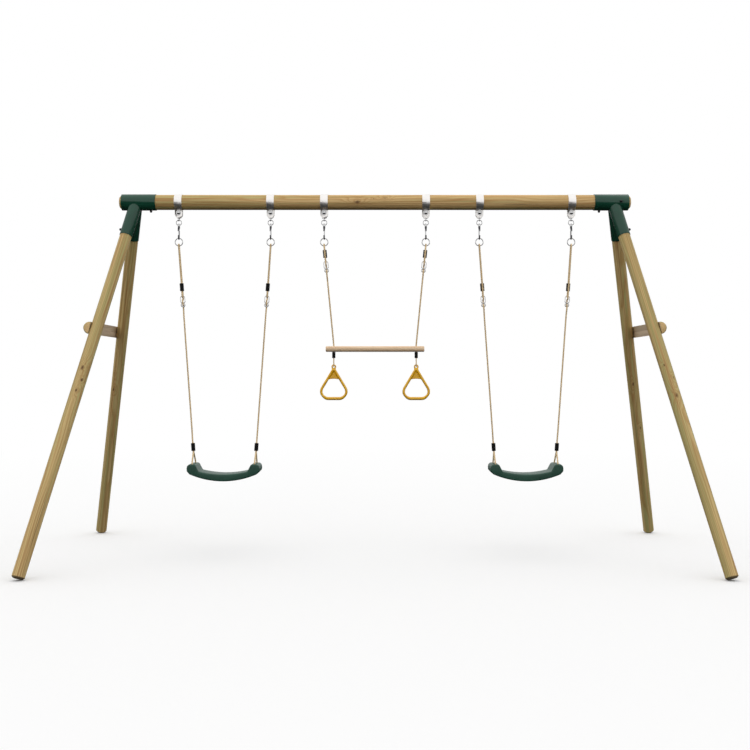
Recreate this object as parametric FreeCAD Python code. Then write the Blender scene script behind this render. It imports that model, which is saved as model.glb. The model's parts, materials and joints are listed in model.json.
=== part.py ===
import FreeCAD, Part
import math
import os

# Free-standing timber swing set: a round beam on two splayed A-frames, two moulded swing seats and a
# trapeze bar with two hand rings. Millimetres. The origin is on the ground below the middle of the beam,
# +X runs along the beam, -Y is the front and +Z is up.

V = FreeCAD.Vector
ORIGIN = V(0, 0, 0)
X_AXIS = V(1, 0, 0)
Y_AXIS = V(0, 1, 0)
Z_AXIS = V(0, 0, 1)
LEFT = -1
RIGHT = 1
FRONT = -1
BACK = 1
GAP = 0.3            # space between pieces that touch loosely
PIN_GAP = 0.05       # radial clearance of a pin or screw in its hole
OVERLAP = 1.0        # how far a solid runs into, or a cutter beyond, its neighbour

# Beam
BEAM_R = 44.0
BEAM_LENGTH = 3000.0
BEAM_Z = 2066.0
BEAM_CHAMFER = 10.0

# Legs: their axes meet the beam's axis at LEG_TOP_X and would reach the ground at LEG_FOOT_X, LEG_FOOT_Y
LEG_R = 34.0
LEG_TOP_X = 1404.0
LEG_FOOT_X = 1827.0
LEG_FOOT_Y = 817.0
LEG_START = 96.0     # from the beam's axis, along the leg
LEG_CHAMFER = 7.0

# Corner brackets: a sleeve for the beam and two for the legs, all of 2.5 mm steel tube
BRACKET_INNER_X = 1287.0
BRACKET_OUTER_X = 1487.0
BRACKET_WALL = 2.5
BEAM_SLEEVE_BORE_R = 45.0
LEG_SLEEVE_BORE_R = 34.5
LEG_SLEEVE_END = 228.0
LEG_SLEEVE_HOLLOW_FROM = 55.0

# Dome-head screws through the brackets
SCREW_R = 3.0
SCREW_LENGTH = 32.0
SCREW_HEAD_R = 7.5
SCREW_HEAD_HEIGHT = 13.0
BOTTOM_SCREW_X = 1318.0
SIDE_SCREW_X = 1437.0
LEG_SCREW_AT = 192.0

# Half-round braces across the outer side of each A-frame
BRACE_R = 34.5
BRACE_LENGTH = 650.0
BRACE_Z = 1307.0
BRACE_CHAMFER = 5.0
BRACE_BOLT_R = 4.0
BRACE_BOLT_LENGTH = 85.0
BRACE_HEAD_R = 10.0
BRACE_HEAD_HEIGHT = 6.0

# Strap clamps round the beam, with two lug plates and a cross bolt below it
SWING_CENTRE_X = 884.0
SWING_CLAMP_SPACING = 540.0
TRAPEZE_CLAMP_SPACING = 598.0
CLAMP_WIDTH = 44.5
CLAMP_BORE_R = 44.5
STRAP_THICKNESS = 3.0
LUG_GAP = 15.6
LUG_BOTTOM_Z = 1973.0
LUG_SHOULDER_Z = 1989.0
LUG_TIP_WIDTH = 22.0
CLAMP_BOLT_Z = 2004.5
CLAMP_BOLT_R = 4.0
WASHER_R = 15.0
WASHER_THICKNESS = 2.0
BOLT_HEAD_R = 11.0
BOLT_HEAD_HEIGHT = 6.0
NUT_R = 7.5
NUT_HEIGHT = 6.5
BOLT_TAIL = 3.0

# Twisted links that hang on the cross bolts
LINK_WIRE_R = 2.5
LINK_HALF_WIDTH = 7.0
LINK_BEND = 5.0
LINK_TWIST_TOP_Z = 1983.0
LINK_TWIST_BOTTOM_Z = 1968.0

# Swivel eyes; a swing turns about the top of its eyes
PIVOT_Z = 1962.5
EYE_R = 15.5
EYE_WIRE_R = 2.5
EYE_BOSS_R = 6.5
EYE_BOSS_TOP_Z = 1938.0
EYE_BOSS_BOTTOM_Z = 1926.0

# Snap hooks, which lie in the YZ plane
HOOK_WIRE_R = 3.0
RIVET_R = 2.5
RIVET_HEAD_R = 4.5
RIVET_HEAD_HEIGHT = 3.0
BARREL_R = 6.5
BARREL_BOTTOM_Z = 1913.0
SPINE_Y = 10.5
NOSE_Y = -9.5
NOSE_R = 4.6
NOSE_BOTTOM_Z = 1855.0
NOSE_TOP_Z = 1872.0
SPINE_TOP_Z = 1898.0
CHEEK_INNER_X = 2.7
CHEEK_OUTER_X = 4.7
CHEEK_BOTTOM_Z = 1896.0
CROWN_BOTTOM_Z = 1906.0
CROWN_DEPTH = 14.0
GATE_PIVOT_Z = 1900.5
GATE_PIN_R = 1.5
GATE_EYE_R = 3.9
GATE_R = 2.4

# Hanging rings
RING_R = 22.0
RING_WIRE_R = 3.0
RING_Z = 1833.0

# Ropes; each is doubled over its ring and held by a crimped sleeve and a two-eye adjuster
ROPE_R = 5.0
STRAND_Y = 5.2       # half the spacing of two strands inside a sleeve
WEAVE_Y = 7.4        # distance of a strand from the middle plane of the adjuster
OUTER_STRAND_Y = 17.6
CROSSING_SPACING = 14.0
ROPE_LEAD = 6.0      # straight rope beyond a sleeve or an adjuster
STRAND_MERGE = 40.0  # length over which a strand returns to the rope's line
STRAND_FORK = 70.0   # and over which it leaves the line again above the lower sleeve
ROPE_BEND = 7.3
SOFT_BEND = 15.0
SLEEVE_R = 12.0
SLEEVE_LENGTH = 46.0
SLEEVE_CHAMFER = 1.5
ADJUSTER_LENGTH = 70.0
ADJUSTER_WIDTH = 30.0
ADJUSTER_THICKNESS = 4.0
ADJUSTER_BAR = 4.5
BIG_EYE_LENGTH = 39.0
SMALL_EYE_R = 7.0
SMALL_EYE_RIM_R = 14.0
SWING_SLEEVE_TOP_Z = 1590.0
SWING_ADJUSTER_TOP_Z = 1519.0
LOWER_SLEEVE_TOP_Z = 650.0
LOWER_SLEEVE_X = 186.0
TRAPEZE_SLEEVE_TOP_Z = 1786.0
TRAPEZE_ADJUSTER_TOP_Z = 1722.0

# Moulded seats
SEAT_HALF_DEPTH = 80.0
SEAT_BOTTOM_Z = 431.6
SEAT_TOP_Z = 472.0
SEAT_TIP = (196.0, 472.3)
SEAT_DISH_END = (143.0, 490.0)
SEAT_BLOCK = [(212.0, 492.0), (210.0, 521.0), (199.0, 529.5), (169.0, 531.0), (161.0, 526.0)]
SEAT_EDGE_CHAMFER = 6.0
SEAT_HOLE_X = 182.0
SEAT_HOLE_Y = 58.0
SEAT_HOLE_R = 5.5
SEAT_GROOVE_Z = 480.1
SEAT_GROOVE_HALF_WIDTH = 6.5
UNDER_SEAT_ROPE_Z = 474.5
ABOVE_SEAT_Z = 538.0

# Trapeze bar and the short rope loops of its hand rings
BAR_R = 17.0
BAR_LENGTH = 580.0
BAR_Z = 1203.5
BAR_CHAMFER = 2.0
BAR_HOLE_X = 242.5
BAR_HOLE_R = 5.5
BAR_SLEEVE_R = 10.0
BAR_SLEEVE_BOTTOM_Z = 1150.0
BAR_ROPE_END_Z = 1166.0
LOOP_PIVOT_Z = 1143.0
LOOP_KNOT_R = 6.5
LOOP_ROPE_R = 3.5
LOOP_BEND = 3.6
LOOP_STRAND_Y = 9.3
LOOP_TOP_Y = 3.6

# Triangular hand rings
HAND_RING_HALF_WIDTH = 82.5
HAND_RING_BOTTOM_Z = 902.6
HAND_RING_CORNER_R = 50.0
HAND_RING_SLOPE = math.radians(31.0)
HAND_RING_DEPTH = 22.0
HAND_RING_SIDE = 14.5
HAND_RING_BOTTOM_BAR = 19.0
LUG_R = 14.25
LUG_DEPTH = 10.0
LUG_HOLE_R = 6.0
LUG_HOLE_Z = 1099.5
WEB_BOTTOM_Z = 1022.0
WEB_RISE = 5.6
WEB_THICKNESS = 8.0
WEB_RIM = 11.0
HAND_RING_NECK_Z = 1084.0


def rod(start, end, radius):
    return Part.makeCylinder(radius, (end - start).Length, start, end - start)


def box(x_range, y_range, z_range):
    size = [high - low for low, high in (x_range, y_range, z_range)]
    return Part.makeBox(*size, V(x_range[0], y_range[0], z_range[0]))


def chamfered_rod(start, end, radius, chamfer):
    shape = rod(start, end, radius)
    rims = [edge for edge in shape.Edges if edge.Curve.TypeId == "Part::GeomCircle"]
    return shape.makeChamfer(chamfer, rims)


def corner(before, point, after, bend):
    """The two ends and the middle of the arc that rounds one corner of a path."""
    back = (before - point).normalize()
    ahead = (after - point).normalize()
    half_angle = back.getAngle(ahead) / 2
    bisector = (back + ahead).normalize()
    reach = bend / math.tan(half_angle)
    middle = point + bisector * (bend / math.sin(half_angle) - bend)
    return point + back * reach, middle, point + ahead * reach


def rounded_path(points, bends):
    """A wire along the points, with each inner corner rounded to its own bend radius."""
    edges = []
    here = points[0]
    for before, point, after, bend in zip(points, points[1:], points[2:], bends):
        arc_start, arc_middle, arc_end = corner(before, point, after, bend)
        edges.append(Part.makeLine(here, arc_start))
        edges.append(Part.Arc(arc_start, arc_middle, arc_end).toShape())
        here = arc_end
    edges.append(Part.makeLine(here, points[-1]))
    return Part.Wire(edges)


def bent_rod(points, bends, radius):
    section = Part.Wire([Part.makeCircle(radius, points[0], points[1] - points[0])])
    return rounded_path(points, bends).makePipeShell([section], True, False)


def closed_ring(points, bend, radius):
    """A closed round-section ring through the points, made as two halves that meet on two of its sides."""
    half = len(points) // 2
    first_joint = (points[-1] + points[0]) * 0.5
    second_joint = (points[half - 1] + points[half]) * 0.5
    bends = [bend] * half
    one = bent_rod([first_joint] + points[:half] + [second_joint], bends, radius)
    other = bent_rod([second_joint] + points[half:] + [first_joint], bends, radius)
    return one.fuse(other).removeSplitter()


def dome(point, direction, radius, height):
    """A domed head whose flat side is at the point and whose crown points along the direction."""
    rim = height * 0.4
    crown_r = radius * 0.55
    disc = Part.makeCylinder(radius, rim, point, direction)
    cap = Part.makeCone(radius, crown_r, height - rim, point + direction * rim, direction)
    return disc.fuse(cap)


def stadium(width, top, bottom, half_depth):
    """A plate with round ends in the XZ plane, from bottom to top, centred on the XZ plane's Z axis."""
    radius = width / 2
    low = V(0, -half_depth, bottom + radius)
    high = V(0, -half_depth, top - radius)
    middle = box((-radius, radius), (-half_depth, half_depth), (low.z, high.z))
    ends = [Part.makeCylinder(radius, 2 * half_depth, end, Y_AXIS) for end in (low, high)]
    return middle.fuse(ends)


def copies(shape, places):
    return Part.makeCompound([shape.translated(place) for place in places])


# ---- A-frames -------------------------------------------------------------------------------------------

def leg_direction(side, face):
    return V(side * (LEG_FOOT_X - LEG_TOP_X), face * LEG_FOOT_Y, -BEAM_Z).normalize()


def leg_point(side, face, distance):
    return V(side * LEG_TOP_X, 0, BEAM_Z) + leg_direction(side, face) * distance


def leg_outward(side, face):
    """The direction square to the leg that points most along the beam, away from the middle."""
    direction = leg_direction(side, face)
    outward = X_AXIS * side
    return (outward - direction * outward.dot(direction)).normalize()


def leg_end_distance():
    """The end is cut square, so the leg stops where the rim of its end face touches the ground."""
    direction = leg_direction(RIGHT, FRONT)
    tilt_sine = math.sqrt(1 - direction.z ** 2)
    end_z = (LEG_R - LEG_CHAMFER) * tilt_sine
    return (end_z - BEAM_Z) / direction.z


def frame_normal(side):
    """The outward normal of the plane that holds both legs of an A-frame."""
    rise = BEAM_Z
    run = LEG_FOOT_X - LEG_TOP_X
    return V(side * rise, 0, run).normalize()


def brace_centre(side):
    x = LEG_TOP_X + (LEG_FOOT_X - LEG_TOP_X) * (BEAM_Z - BRACE_Z) / BEAM_Z
    return V(side * x, 0, BRACE_Z) + frame_normal(side) * (LEG_R + PIN_GAP)


def brace_bolt_places(side):
    """The crown of the brace where it crosses each leg, with the direction into the timber."""
    crossing_y = LEG_FOOT_Y * (BEAM_Z - BRACE_Z) / BEAM_Z
    normal = frame_normal(side)
    crown = brace_centre(side) + normal * BRACE_R
    return [(crown + Y_AXIS * (face * crossing_y), normal * -1) for face in (FRONT, BACK)]


def bracket_screw_places(side):
    """Surface point and inward direction of each screw of one bracket."""
    sleeve_r = BEAM_SLEEVE_BORE_R + BRACKET_WALL
    leg_sleeve_r = LEG_SLEEVE_BORE_R + BRACKET_WALL
    bottom = (V(side * BOTTOM_SCREW_X, 0, BEAM_Z - sleeve_r), Z_AXIS)
    flank = (V(side * SIDE_SCREW_X, -side * sleeve_r, BEAM_Z), Y_AXIS * side)
    places = [bottom, flank]
    for face in (FRONT, BACK):
        outward = leg_outward(side, face)
        places.append((leg_point(side, face, LEG_SCREW_AT) + outward * leg_sleeve_r, outward * -1))
    return places


def holes(places, radius, depth):
    bores = [Part.makeCylinder(radius, depth + OVERLAP, point - inward * OVERLAP, inward)
             for point, inward in places]
    return Part.makeCompound(bores)


def screw_holes():
    places = bracket_screw_places(LEFT) + bracket_screw_places(RIGHT)
    return holes(places, SCREW_R + PIN_GAP, SCREW_LENGTH + GAP)


def brace_holes():
    places = brace_bolt_places(LEFT) + brace_bolt_places(RIGHT)
    return holes(places, BRACE_BOLT_R + PIN_GAP, BRACE_BOLT_LENGTH + GAP)


def bracket_screws():
    screws = []
    for point, inward in bracket_screw_places(LEFT) + bracket_screw_places(RIGHT):
        shank = rod(point, point + inward * SCREW_LENGTH, SCREW_R)
        screws.append(shank.fuse(dome(point, inward * -1, SCREW_HEAD_R, SCREW_HEAD_HEIGHT)))
    return Part.makeCompound(screws)


def brace_bolts():
    bolts = []
    for point, inward in brace_bolt_places(LEFT) + brace_bolt_places(RIGHT):
        shank = rod(point, point + inward * BRACE_BOLT_LENGTH, BRACE_BOLT_R)
        bolts.append(shank.fuse(dome(point, inward * -1, BRACE_HEAD_R, BRACE_HEAD_HEIGHT)))
    return Part.makeCompound(bolts)


def top_beam():
    half = X_AXIS * (BEAM_LENGTH / 2)
    centre = Z_AXIS * BEAM_Z
    beam = chamfered_rod(centre - half, centre + half, BEAM_R, BEAM_CHAMFER)
    return beam.cut(screw_holes())


def leg(side, face):
    start = leg_point(side, face, LEG_START)
    end = leg_point(side, face, leg_end_distance())
    shape = chamfered_rod(start, end, LEG_R, LEG_CHAMFER)
    return shape.cut(screw_holes()).cut(brace_holes())


def corner_bracket(side):
    inner = V(side * BRACKET_INNER_X, 0, BEAM_Z)
    outer = V(side * BRACKET_OUTER_X, 0, BEAM_Z)
    shape = rod(inner, outer, BEAM_SLEEVE_BORE_R + BRACKET_WALL)
    bores = [rod(inner - X_AXIS * side, outer + X_AXIS * side, BEAM_SLEEVE_BORE_R)]
    for face in (FRONT, BACK):
        end = leg_point(side, face, LEG_SLEEVE_END)
        shape = shape.fuse(rod(leg_point(side, face, 0), end, LEG_SLEEVE_BORE_R + BRACKET_WALL))
        hollow_start = leg_point(side, face, LEG_SLEEVE_HOLLOW_FROM)
        hollow_end = leg_point(side, face, LEG_SLEEVE_END + OVERLAP)
        bores.append(rod(hollow_start, hollow_end, LEG_SLEEVE_BORE_R))
    return shape.cut(bores).cut(screw_holes())


def brace(side):
    """Half-round rail; its flat side lies against the outer side of both legs."""
    half_round = Part.makeCylinder(BRACE_R, BRACE_LENGTH, V(0, 0, -BRACE_LENGTH / 2), Z_AXIS, 180)
    rims = [edge for edge in half_round.Edges if edge.Curve.TypeId == "Part::GeomCircle"]
    half_round = half_round.makeChamfer(BRACE_CHAMFER, rims)
    normal = frame_normal(side)
    turn = FreeCAD.Rotation(normal.cross(Y_AXIS), normal, Y_AXIS, "ZYX")
    half_round.Placement = FreeCAD.Placement(brace_centre(side), turn)
    return half_round.cut(brace_holes())


# ---- Clamps and links, drawn at X = 0 -------------------------------------------------------------------

def lug_plates():
    half_width = CLAMP_WIDTH / 2
    half_tip = LUG_TIP_WIDTH / 2
    outline = [(-half_width, BEAM_Z - BEAM_R), (half_width, BEAM_Z - BEAM_R), (half_width, LUG_SHOULDER_Z),
               (half_tip, LUG_BOTTOM_Z), (-half_tip, LUG_BOTTOM_Z), (-half_width, LUG_SHOULDER_Z)]
    half_depth = LUG_GAP / 2 + STRAP_THICKNESS
    points = [V(x, -half_depth, z) for x, z in outline]
    face = Part.Face(Part.makePolygon(points + points[:1]))
    return face.extrude(Y_AXIS * (2 * half_depth))


def beam_clamp():
    half_width = X_AXIS * (CLAMP_WIDTH / 2)
    centre = Z_AXIS * BEAM_Z
    strap = rod(centre - half_width, centre + half_width, CLAMP_BORE_R + STRAP_THICKNESS)
    bore = rod(centre - half_width * 2, centre + half_width * 2, CLAMP_BORE_R)
    slot = box((-CLAMP_WIDTH, CLAMP_WIDTH), (-LUG_GAP / 2, LUG_GAP / 2), (LUG_BOTTOM_Z - OVERLAP, BEAM_Z))
    bolt_hole = rod(V(0, -BEAM_R, CLAMP_BOLT_Z), V(0, BEAM_R, CLAMP_BOLT_Z), CLAMP_BOLT_R + PIN_GAP)
    return strap.fuse(lug_plates()).cut([bore, slot, bolt_hole])


def washer_face():
    return LUG_GAP / 2 + STRAP_THICKNESS + WASHER_THICKNESS


def clamp_bolt():
    front = V(0, -washer_face(), CLAMP_BOLT_Z)
    back = V(0, washer_face() + NUT_HEIGHT + BOLT_TAIL, CLAMP_BOLT_Z)
    shank = rod(front, back, CLAMP_BOLT_R)
    return shank.fuse(dome(front, Y_AXIS * -1, BOLT_HEAD_R, BOLT_HEAD_HEIGHT))


def clamp_washer():
    start = V(0, LUG_GAP / 2 + STRAP_THICKNESS, CLAMP_BOLT_Z)
    disc = Part.makeCylinder(WASHER_R, WASHER_THICKNESS, start, Y_AXIS)
    return disc.cut(Part.makeCylinder(CLAMP_BOLT_R + PIN_GAP, WASHER_THICKNESS, start, Y_AXIS))


def clamp_washers():
    back = clamp_washer()
    return [back, back.mirror(ORIGIN, Y_AXIS)]


def clamp_nut():
    start = V(0, washer_face(), CLAMP_BOLT_Z)
    sides = 6
    corners = [start + V(NUT_R * math.cos(k * math.tau / sides), 0, NUT_R * math.sin(k * math.tau / sides))
               for k in range(sides)]
    hexagon = Part.Face(Part.makePolygon(corners + corners[:1]))
    prism = hexagon.extrude(Y_AXIS * NUT_HEIGHT)
    return prism.cut(Part.makeCylinder(CLAMP_BOLT_R + PIN_GAP, NUT_HEIGHT, start, Y_AXIS))


def twisted_link():
    """The upper loop lies in the XZ plane round the bolt, the lower one in the YZ plane round the eye."""
    top_z = CLAMP_BOLT_Z + CLAMP_BOLT_R + LINK_WIRE_R + GAP
    bottom_z = PIVOT_Z - EYE_WIRE_R - LINK_WIRE_R - GAP
    w = LINK_HALF_WIDTH
    upper = [V(-w, 0, top_z), V(w, 0, top_z), V(w, 0, LINK_TWIST_TOP_Z)]
    lower = [V(0, w, LINK_TWIST_BOTTOM_Z), V(0, w, bottom_z), V(0, -w, bottom_z),
             V(0, -w, LINK_TWIST_BOTTOM_Z)]
    points = upper + lower + [V(-w, 0, LINK_TWIST_TOP_Z)]
    return closed_ring(points, LINK_BEND, LINK_WIRE_R)


# ---- Swivel snap hooks and rings, drawn at X = 0 --------------------------------------------------------

def swivel_eye():
    ring = Part.makeTorus(EYE_R, EYE_WIRE_R, Z_AXIS * (PIVOT_Z - EYE_R), Y_AXIS)
    bottom = Z_AXIS * EYE_BOSS_BOTTOM_Z
    top = Z_AXIS * EYE_BOSS_TOP_Z
    return ring.fuse(rod(bottom, top, EYE_BOSS_R)).cut(rod(bottom, top, RIVET_R + PIN_GAP))


def hook_bow():
    """The wire from the barrel down the spine, round the bow and up to the nose."""
    bow_z = RING_Z + RING_R - RING_WIRE_R - HOOK_WIRE_R - GAP
    points = [V(0, 0, BARREL_BOTTOM_Z + OVERLAP), V(0, 0, CROWN_BOTTOM_Z + OVERLAP),
              V(0, SPINE_Y, SPINE_TOP_Z), V(0, SPINE_Y, bow_z), V(0, NOSE_Y, bow_z), V(0, NOSE_Y, NOSE_TOP_Z)]
    neck_bend = 4.0
    bow_bend = 9.9
    return bent_rod(points, [neck_bend, SOFT_BEND, bow_bend, bow_bend], HOOK_WIRE_R)


def hook_crown():
    """The block below the barrel, with two cheeks that hold the gate's pin."""
    outer = CHEEK_OUTER_X
    inner = CHEEK_INNER_X
    block = box((-outer, outer), (-CROWN_DEPTH, CROWN_DEPTH / 4), (CROWN_BOTTOM_Z, BARREL_BOTTOM_Z))
    cheeks = [box(x_range, (-CROWN_DEPTH, NOSE_Y + GATE_EYE_R), (CHEEK_BOTTOM_Z, CROWN_BOTTOM_Z))
              for x_range in ((-outer, -inner), (inner, outer))]
    pin = rod(V(-outer, NOSE_Y, GATE_PIVOT_Z), V(outer, NOSE_Y, GATE_PIVOT_Z), GATE_PIN_R)
    return block.fuse(cheeks + [pin])


def snap_hook():
    barrel_top = EYE_BOSS_BOTTOM_Z - GAP
    head_z = EYE_BOSS_TOP_Z + GAP
    barrel = rod(Z_AXIS * BARREL_BOTTOM_Z, Z_AXIS * barrel_top, BARREL_R)
    rivet = rod(Z_AXIS * BARREL_BOTTOM_Z, Z_AXIS * head_z, RIVET_R)
    head = dome(Z_AXIS * head_z, Z_AXIS, RIVET_HEAD_R, RIVET_HEAD_HEIGHT)
    nose = rod(V(0, NOSE_Y, NOSE_BOTTOM_Z), V(0, NOSE_Y, NOSE_TOP_Z), NOSE_R)
    return barrel.fuse([rivet, head, hook_crown(), hook_bow(), nose])


def hook_gate():
    half = X_AXIS * (CHEEK_INNER_X - GAP)
    pivot = V(0, NOSE_Y, GATE_PIVOT_Z)
    eye = rod(pivot - half, pivot + half, GATE_EYE_R)
    bar = rod(V(0, NOSE_Y, NOSE_TOP_Z + GAP), pivot, GATE_R)
    return eye.fuse(bar).cut(rod(pivot - half, pivot + half, GATE_PIN_R + PIN_GAP))


def hanging_ring():
    return Part.makeTorus(RING_R, RING_WIRE_R, Z_AXIS * RING_Z, Y_AXIS)


# ---- Ropes ----------------------------------------------------------------------------------------------

class Hanger:
    """One rope line: it runs from a hanging ring down to a lower point, leaning towards the middle."""

    def __init__(self, ring_x, foot_x, foot_z):
        self.ring_x = ring_x
        self.ring_z = RING_Z - RING_R
        self.slope = (ring_x - foot_x) / (self.ring_z - foot_z)

    def x_at(self, z):
        return self.ring_x - self.slope * (self.ring_z - z)

    def lean(self, shape, z):
        """Tilts a piece drawn at the origin along the rope and moves it to height z on the line."""
        shape.rotate(ORIGIN, Y_AXIS, math.degrees(math.atan(self.slope)))
        return shape.translated(V(self.x_at(z), 0, z))


def swing_hanger(swing, side):
    centre = swing * SWING_CENTRE_X
    return Hanger(centre + side * SWING_CLAMP_SPACING / 2, centre + side * LOWER_SLEEVE_X,
                  LOWER_SLEEVE_TOP_Z - SLEEVE_LENGTH / 2)


def trapeze_hanger(side):
    return Hanger(side * TRAPEZE_CLAMP_SPACING / 2, side * BAR_HOLE_X, BAR_Z + BAR_R)


def upper_stations(sleeve_top, adjuster_top):
    """Rope stations (height, depth, bend) from its free end, round the adjuster and over the ring, back
    down behind the sleeve and through both eyes of the adjuster."""
    sleeve_bottom = sleeve_top - SLEEVE_LENGTH
    loop_z = adjuster_top - ADJUSTER_BAR - ROPE_R - 4 * GAP
    cross_z = loop_z - CROSSING_SPACING
    small_eye_z = adjuster_top - ADJUSTER_LENGTH + SMALL_EYE_RIM_R
    ring_z = RING_Z - RING_R
    arch = RING_WIRE_R + ROPE_R + 2 * GAP
    above_adjuster = adjuster_top + ROPE_LEAD
    below_adjuster = adjuster_top - ADJUSTER_LENGTH - ROPE_LEAD
    return [
        (sleeve_top + ROPE_LEAD / 2, STRAND_Y, SOFT_BEND),
        (sleeve_bottom - ROPE_LEAD, STRAND_Y, SOFT_BEND),
        (above_adjuster, WEAVE_Y, SOFT_BEND),
        (loop_z, WEAVE_Y, ROPE_BEND),
        (loop_z, -WEAVE_Y, ROPE_BEND),
        (above_adjuster, -WEAVE_Y, SOFT_BEND),
        (sleeve_bottom - ROPE_LEAD, -STRAND_Y, SOFT_BEND),
        (sleeve_top + ROPE_LEAD, -STRAND_Y, SOFT_BEND),
        (ring_z - ROPE_LEAD, -arch, SOFT_BEND),
        (ring_z + arch, -arch, arch - GAP),
        (ring_z + arch, arch, arch - GAP),
        (ring_z - ROPE_LEAD, arch, SOFT_BEND),
        (sleeve_top + ROPE_LEAD, OUTER_STRAND_Y, SOFT_BEND),
        (cross_z, OUTER_STRAND_Y, ROPE_BEND),
        (cross_z, -WEAVE_Y, ROPE_BEND),
        (small_eye_z, -WEAVE_Y, ROPE_BEND),
        (small_eye_z, WEAVE_Y, ROPE_BEND),
        (below_adjuster, WEAVE_Y, SOFT_BEND),
        (below_adjuster - STRAND_MERGE, 0, 2 * SOFT_BEND),
    ]


def rope(points, stations, weave):
    """Sweeps one rope; its outer strand runs behind the sleeve (BACK) or in front of it (FRONT)."""
    points = [V(point.x, weave * point.y, point.z) for point in points]
    bends = [bend for _, _, bend in stations[1:-1]]
    return bent_rod(points, bends, ROPE_R)


def swing_rope(swing, side):
    """The lower end spreads to the front and back seat holes and passes under the seat."""
    line = swing_hanger(swing, side)
    sleeve_bottom = LOWER_SLEEVE_TOP_Z - SLEEVE_LENGTH
    upper = upper_stations(SWING_SLEEVE_TOP_Z, SWING_ADJUSTER_TOP_Z)
    upper.append((LOWER_SLEEVE_TOP_Z + STRAND_FORK, 0, 4 * SOFT_BEND))
    upper.append((LOWER_SLEEVE_TOP_Z + ROPE_LEAD, -STRAND_Y, 4 * SOFT_BEND))
    upper.append((sleeve_bottom - ROPE_LEAD, -STRAND_Y, SOFT_BEND))
    hole_bend = 5.2
    seat = [(ABOVE_SEAT_Z, -SEAT_HOLE_Y, hole_bend), (UNDER_SEAT_ROPE_Z, -SEAT_HOLE_Y, hole_bend),
            (UNDER_SEAT_ROPE_Z, SEAT_HOLE_Y, hole_bend), (ABOVE_SEAT_Z, SEAT_HOLE_Y, hole_bend)]
    end = [(sleeve_bottom - ROPE_LEAD, STRAND_Y, SOFT_BEND),
           (LOWER_SLEEVE_TOP_Z + ROPE_LEAD / 2, STRAND_Y, SOFT_BEND)]
    hole_x = swing * SWING_CENTRE_X + side * SEAT_HOLE_X
    points = [V(line.x_at(z), y, z) for z, y, _ in upper]
    points += [V(hole_x, y, z) for z, y, _ in seat]
    points += [V(line.x_at(z), y, z) for z, y, _ in end]
    return rope(points, upper + seat + end, BACK if swing == LEFT else FRONT)


def trapeze_rope(side):
    """The lower end passes through the bar and stops in the sleeve below it."""
    line = trapeze_hanger(side)
    upper = upper_stations(TRAPEZE_SLEEVE_TOP_Z, TRAPEZE_ADJUSTER_TOP_Z)
    points = [V(line.x_at(z), y, z) for z, y, _ in upper]
    lower = [(BAR_Z + BAR_R + ROPE_LEAD, 0, 2 * SOFT_BEND), (BAR_ROPE_END_Z, 0, SOFT_BEND)]
    points += [V(side * BAR_HOLE_X, y, z) for z, y, _ in lower]
    return rope(points, upper + lower, FRONT)


def rope_sleeve():
    """A crimped plastic sleeve round two strands, centred on the origin."""
    half = Z_AXIS * (SLEEVE_LENGTH / 2)
    strand_bore_r = ROPE_R + 2 * PIN_GAP
    bores = [rod(V(0, y, 0) - half, V(0, y, 0) + half, strand_bore_r) for y in (-STRAND_Y, STRAND_Y)]
    between = box((-strand_bore_r, strand_bore_r), (-STRAND_Y, STRAND_Y), (-half.z, half.z))
    return chamfered_rod(half * -1, half, SLEEVE_R, SLEEVE_CHAMFER).cut(bores + [between])


def rope_adjuster():
    """A cast plate with a long eye above a round one, centred on the origin."""
    half_depth = ADJUSTER_THICKNESS / 2
    top = ADJUSTER_LENGTH / 2
    eye_top = top - ADJUSTER_BAR
    eye_bottom = eye_top - BIG_EYE_LENGTH
    frame = stadium(ADJUSTER_WIDTH, top, eye_bottom - ADJUSTER_BAR, half_depth)
    small_eye = V(0, -half_depth, SMALL_EYE_RIM_R - top)
    rim = Part.makeCylinder(SMALL_EYE_RIM_R, 2 * half_depth, small_eye, Y_AXIS)
    hole = Part.makeCylinder(SMALL_EYE_R, 2 * half_depth, small_eye, Y_AXIS)
    opening = stadium(ADJUSTER_WIDTH - 2 * ADJUSTER_BAR, eye_top, eye_bottom, half_depth)
    return frame.fuse(rim).cut([opening, hole])


def swing_sleeves(swing):
    sleeves = []
    for side in (LEFT, RIGHT):
        line = swing_hanger(swing, side)
        for top in (SWING_SLEEVE_TOP_Z, LOWER_SLEEVE_TOP_Z):
            sleeves.append(line.lean(rope_sleeve(), top - SLEEVE_LENGTH / 2))
    return Part.makeCompound(sleeves)


def adjusters(lines, top):
    return Part.makeCompound([line.lean(rope_adjuster(), top - ADJUSTER_LENGTH / 2) for line in lines])


def bar_sleeve(side):
    """The sleeve below the bar; its bore stops above the short loop."""
    x = side * BAR_HOLE_X
    top = V(x, 0, BAR_Z - BAR_R - GAP)
    shape = chamfered_rod(V(x, 0, BAR_SLEEVE_BOTTOM_Z), top, BAR_SLEEVE_R, SLEEVE_CHAMFER)
    return shape.cut(rod(V(x, 0, BAR_ROPE_END_Z - GAP), top, ROPE_R + 2 * PIN_GAP))


def trapeze_sleeves():
    sleeves = []
    for side in (LEFT, RIGHT):
        sleeves.append(trapeze_hanger(side).lean(rope_sleeve(), TRAPEZE_SLEEVE_TOP_Z - SLEEVE_LENGTH / 2))
        sleeves.append(bar_sleeve(side))
    return Part.makeCompound(sleeves)


# ---- Seat, drawn at X = 0 -------------------------------------------------------------------------------

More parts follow.
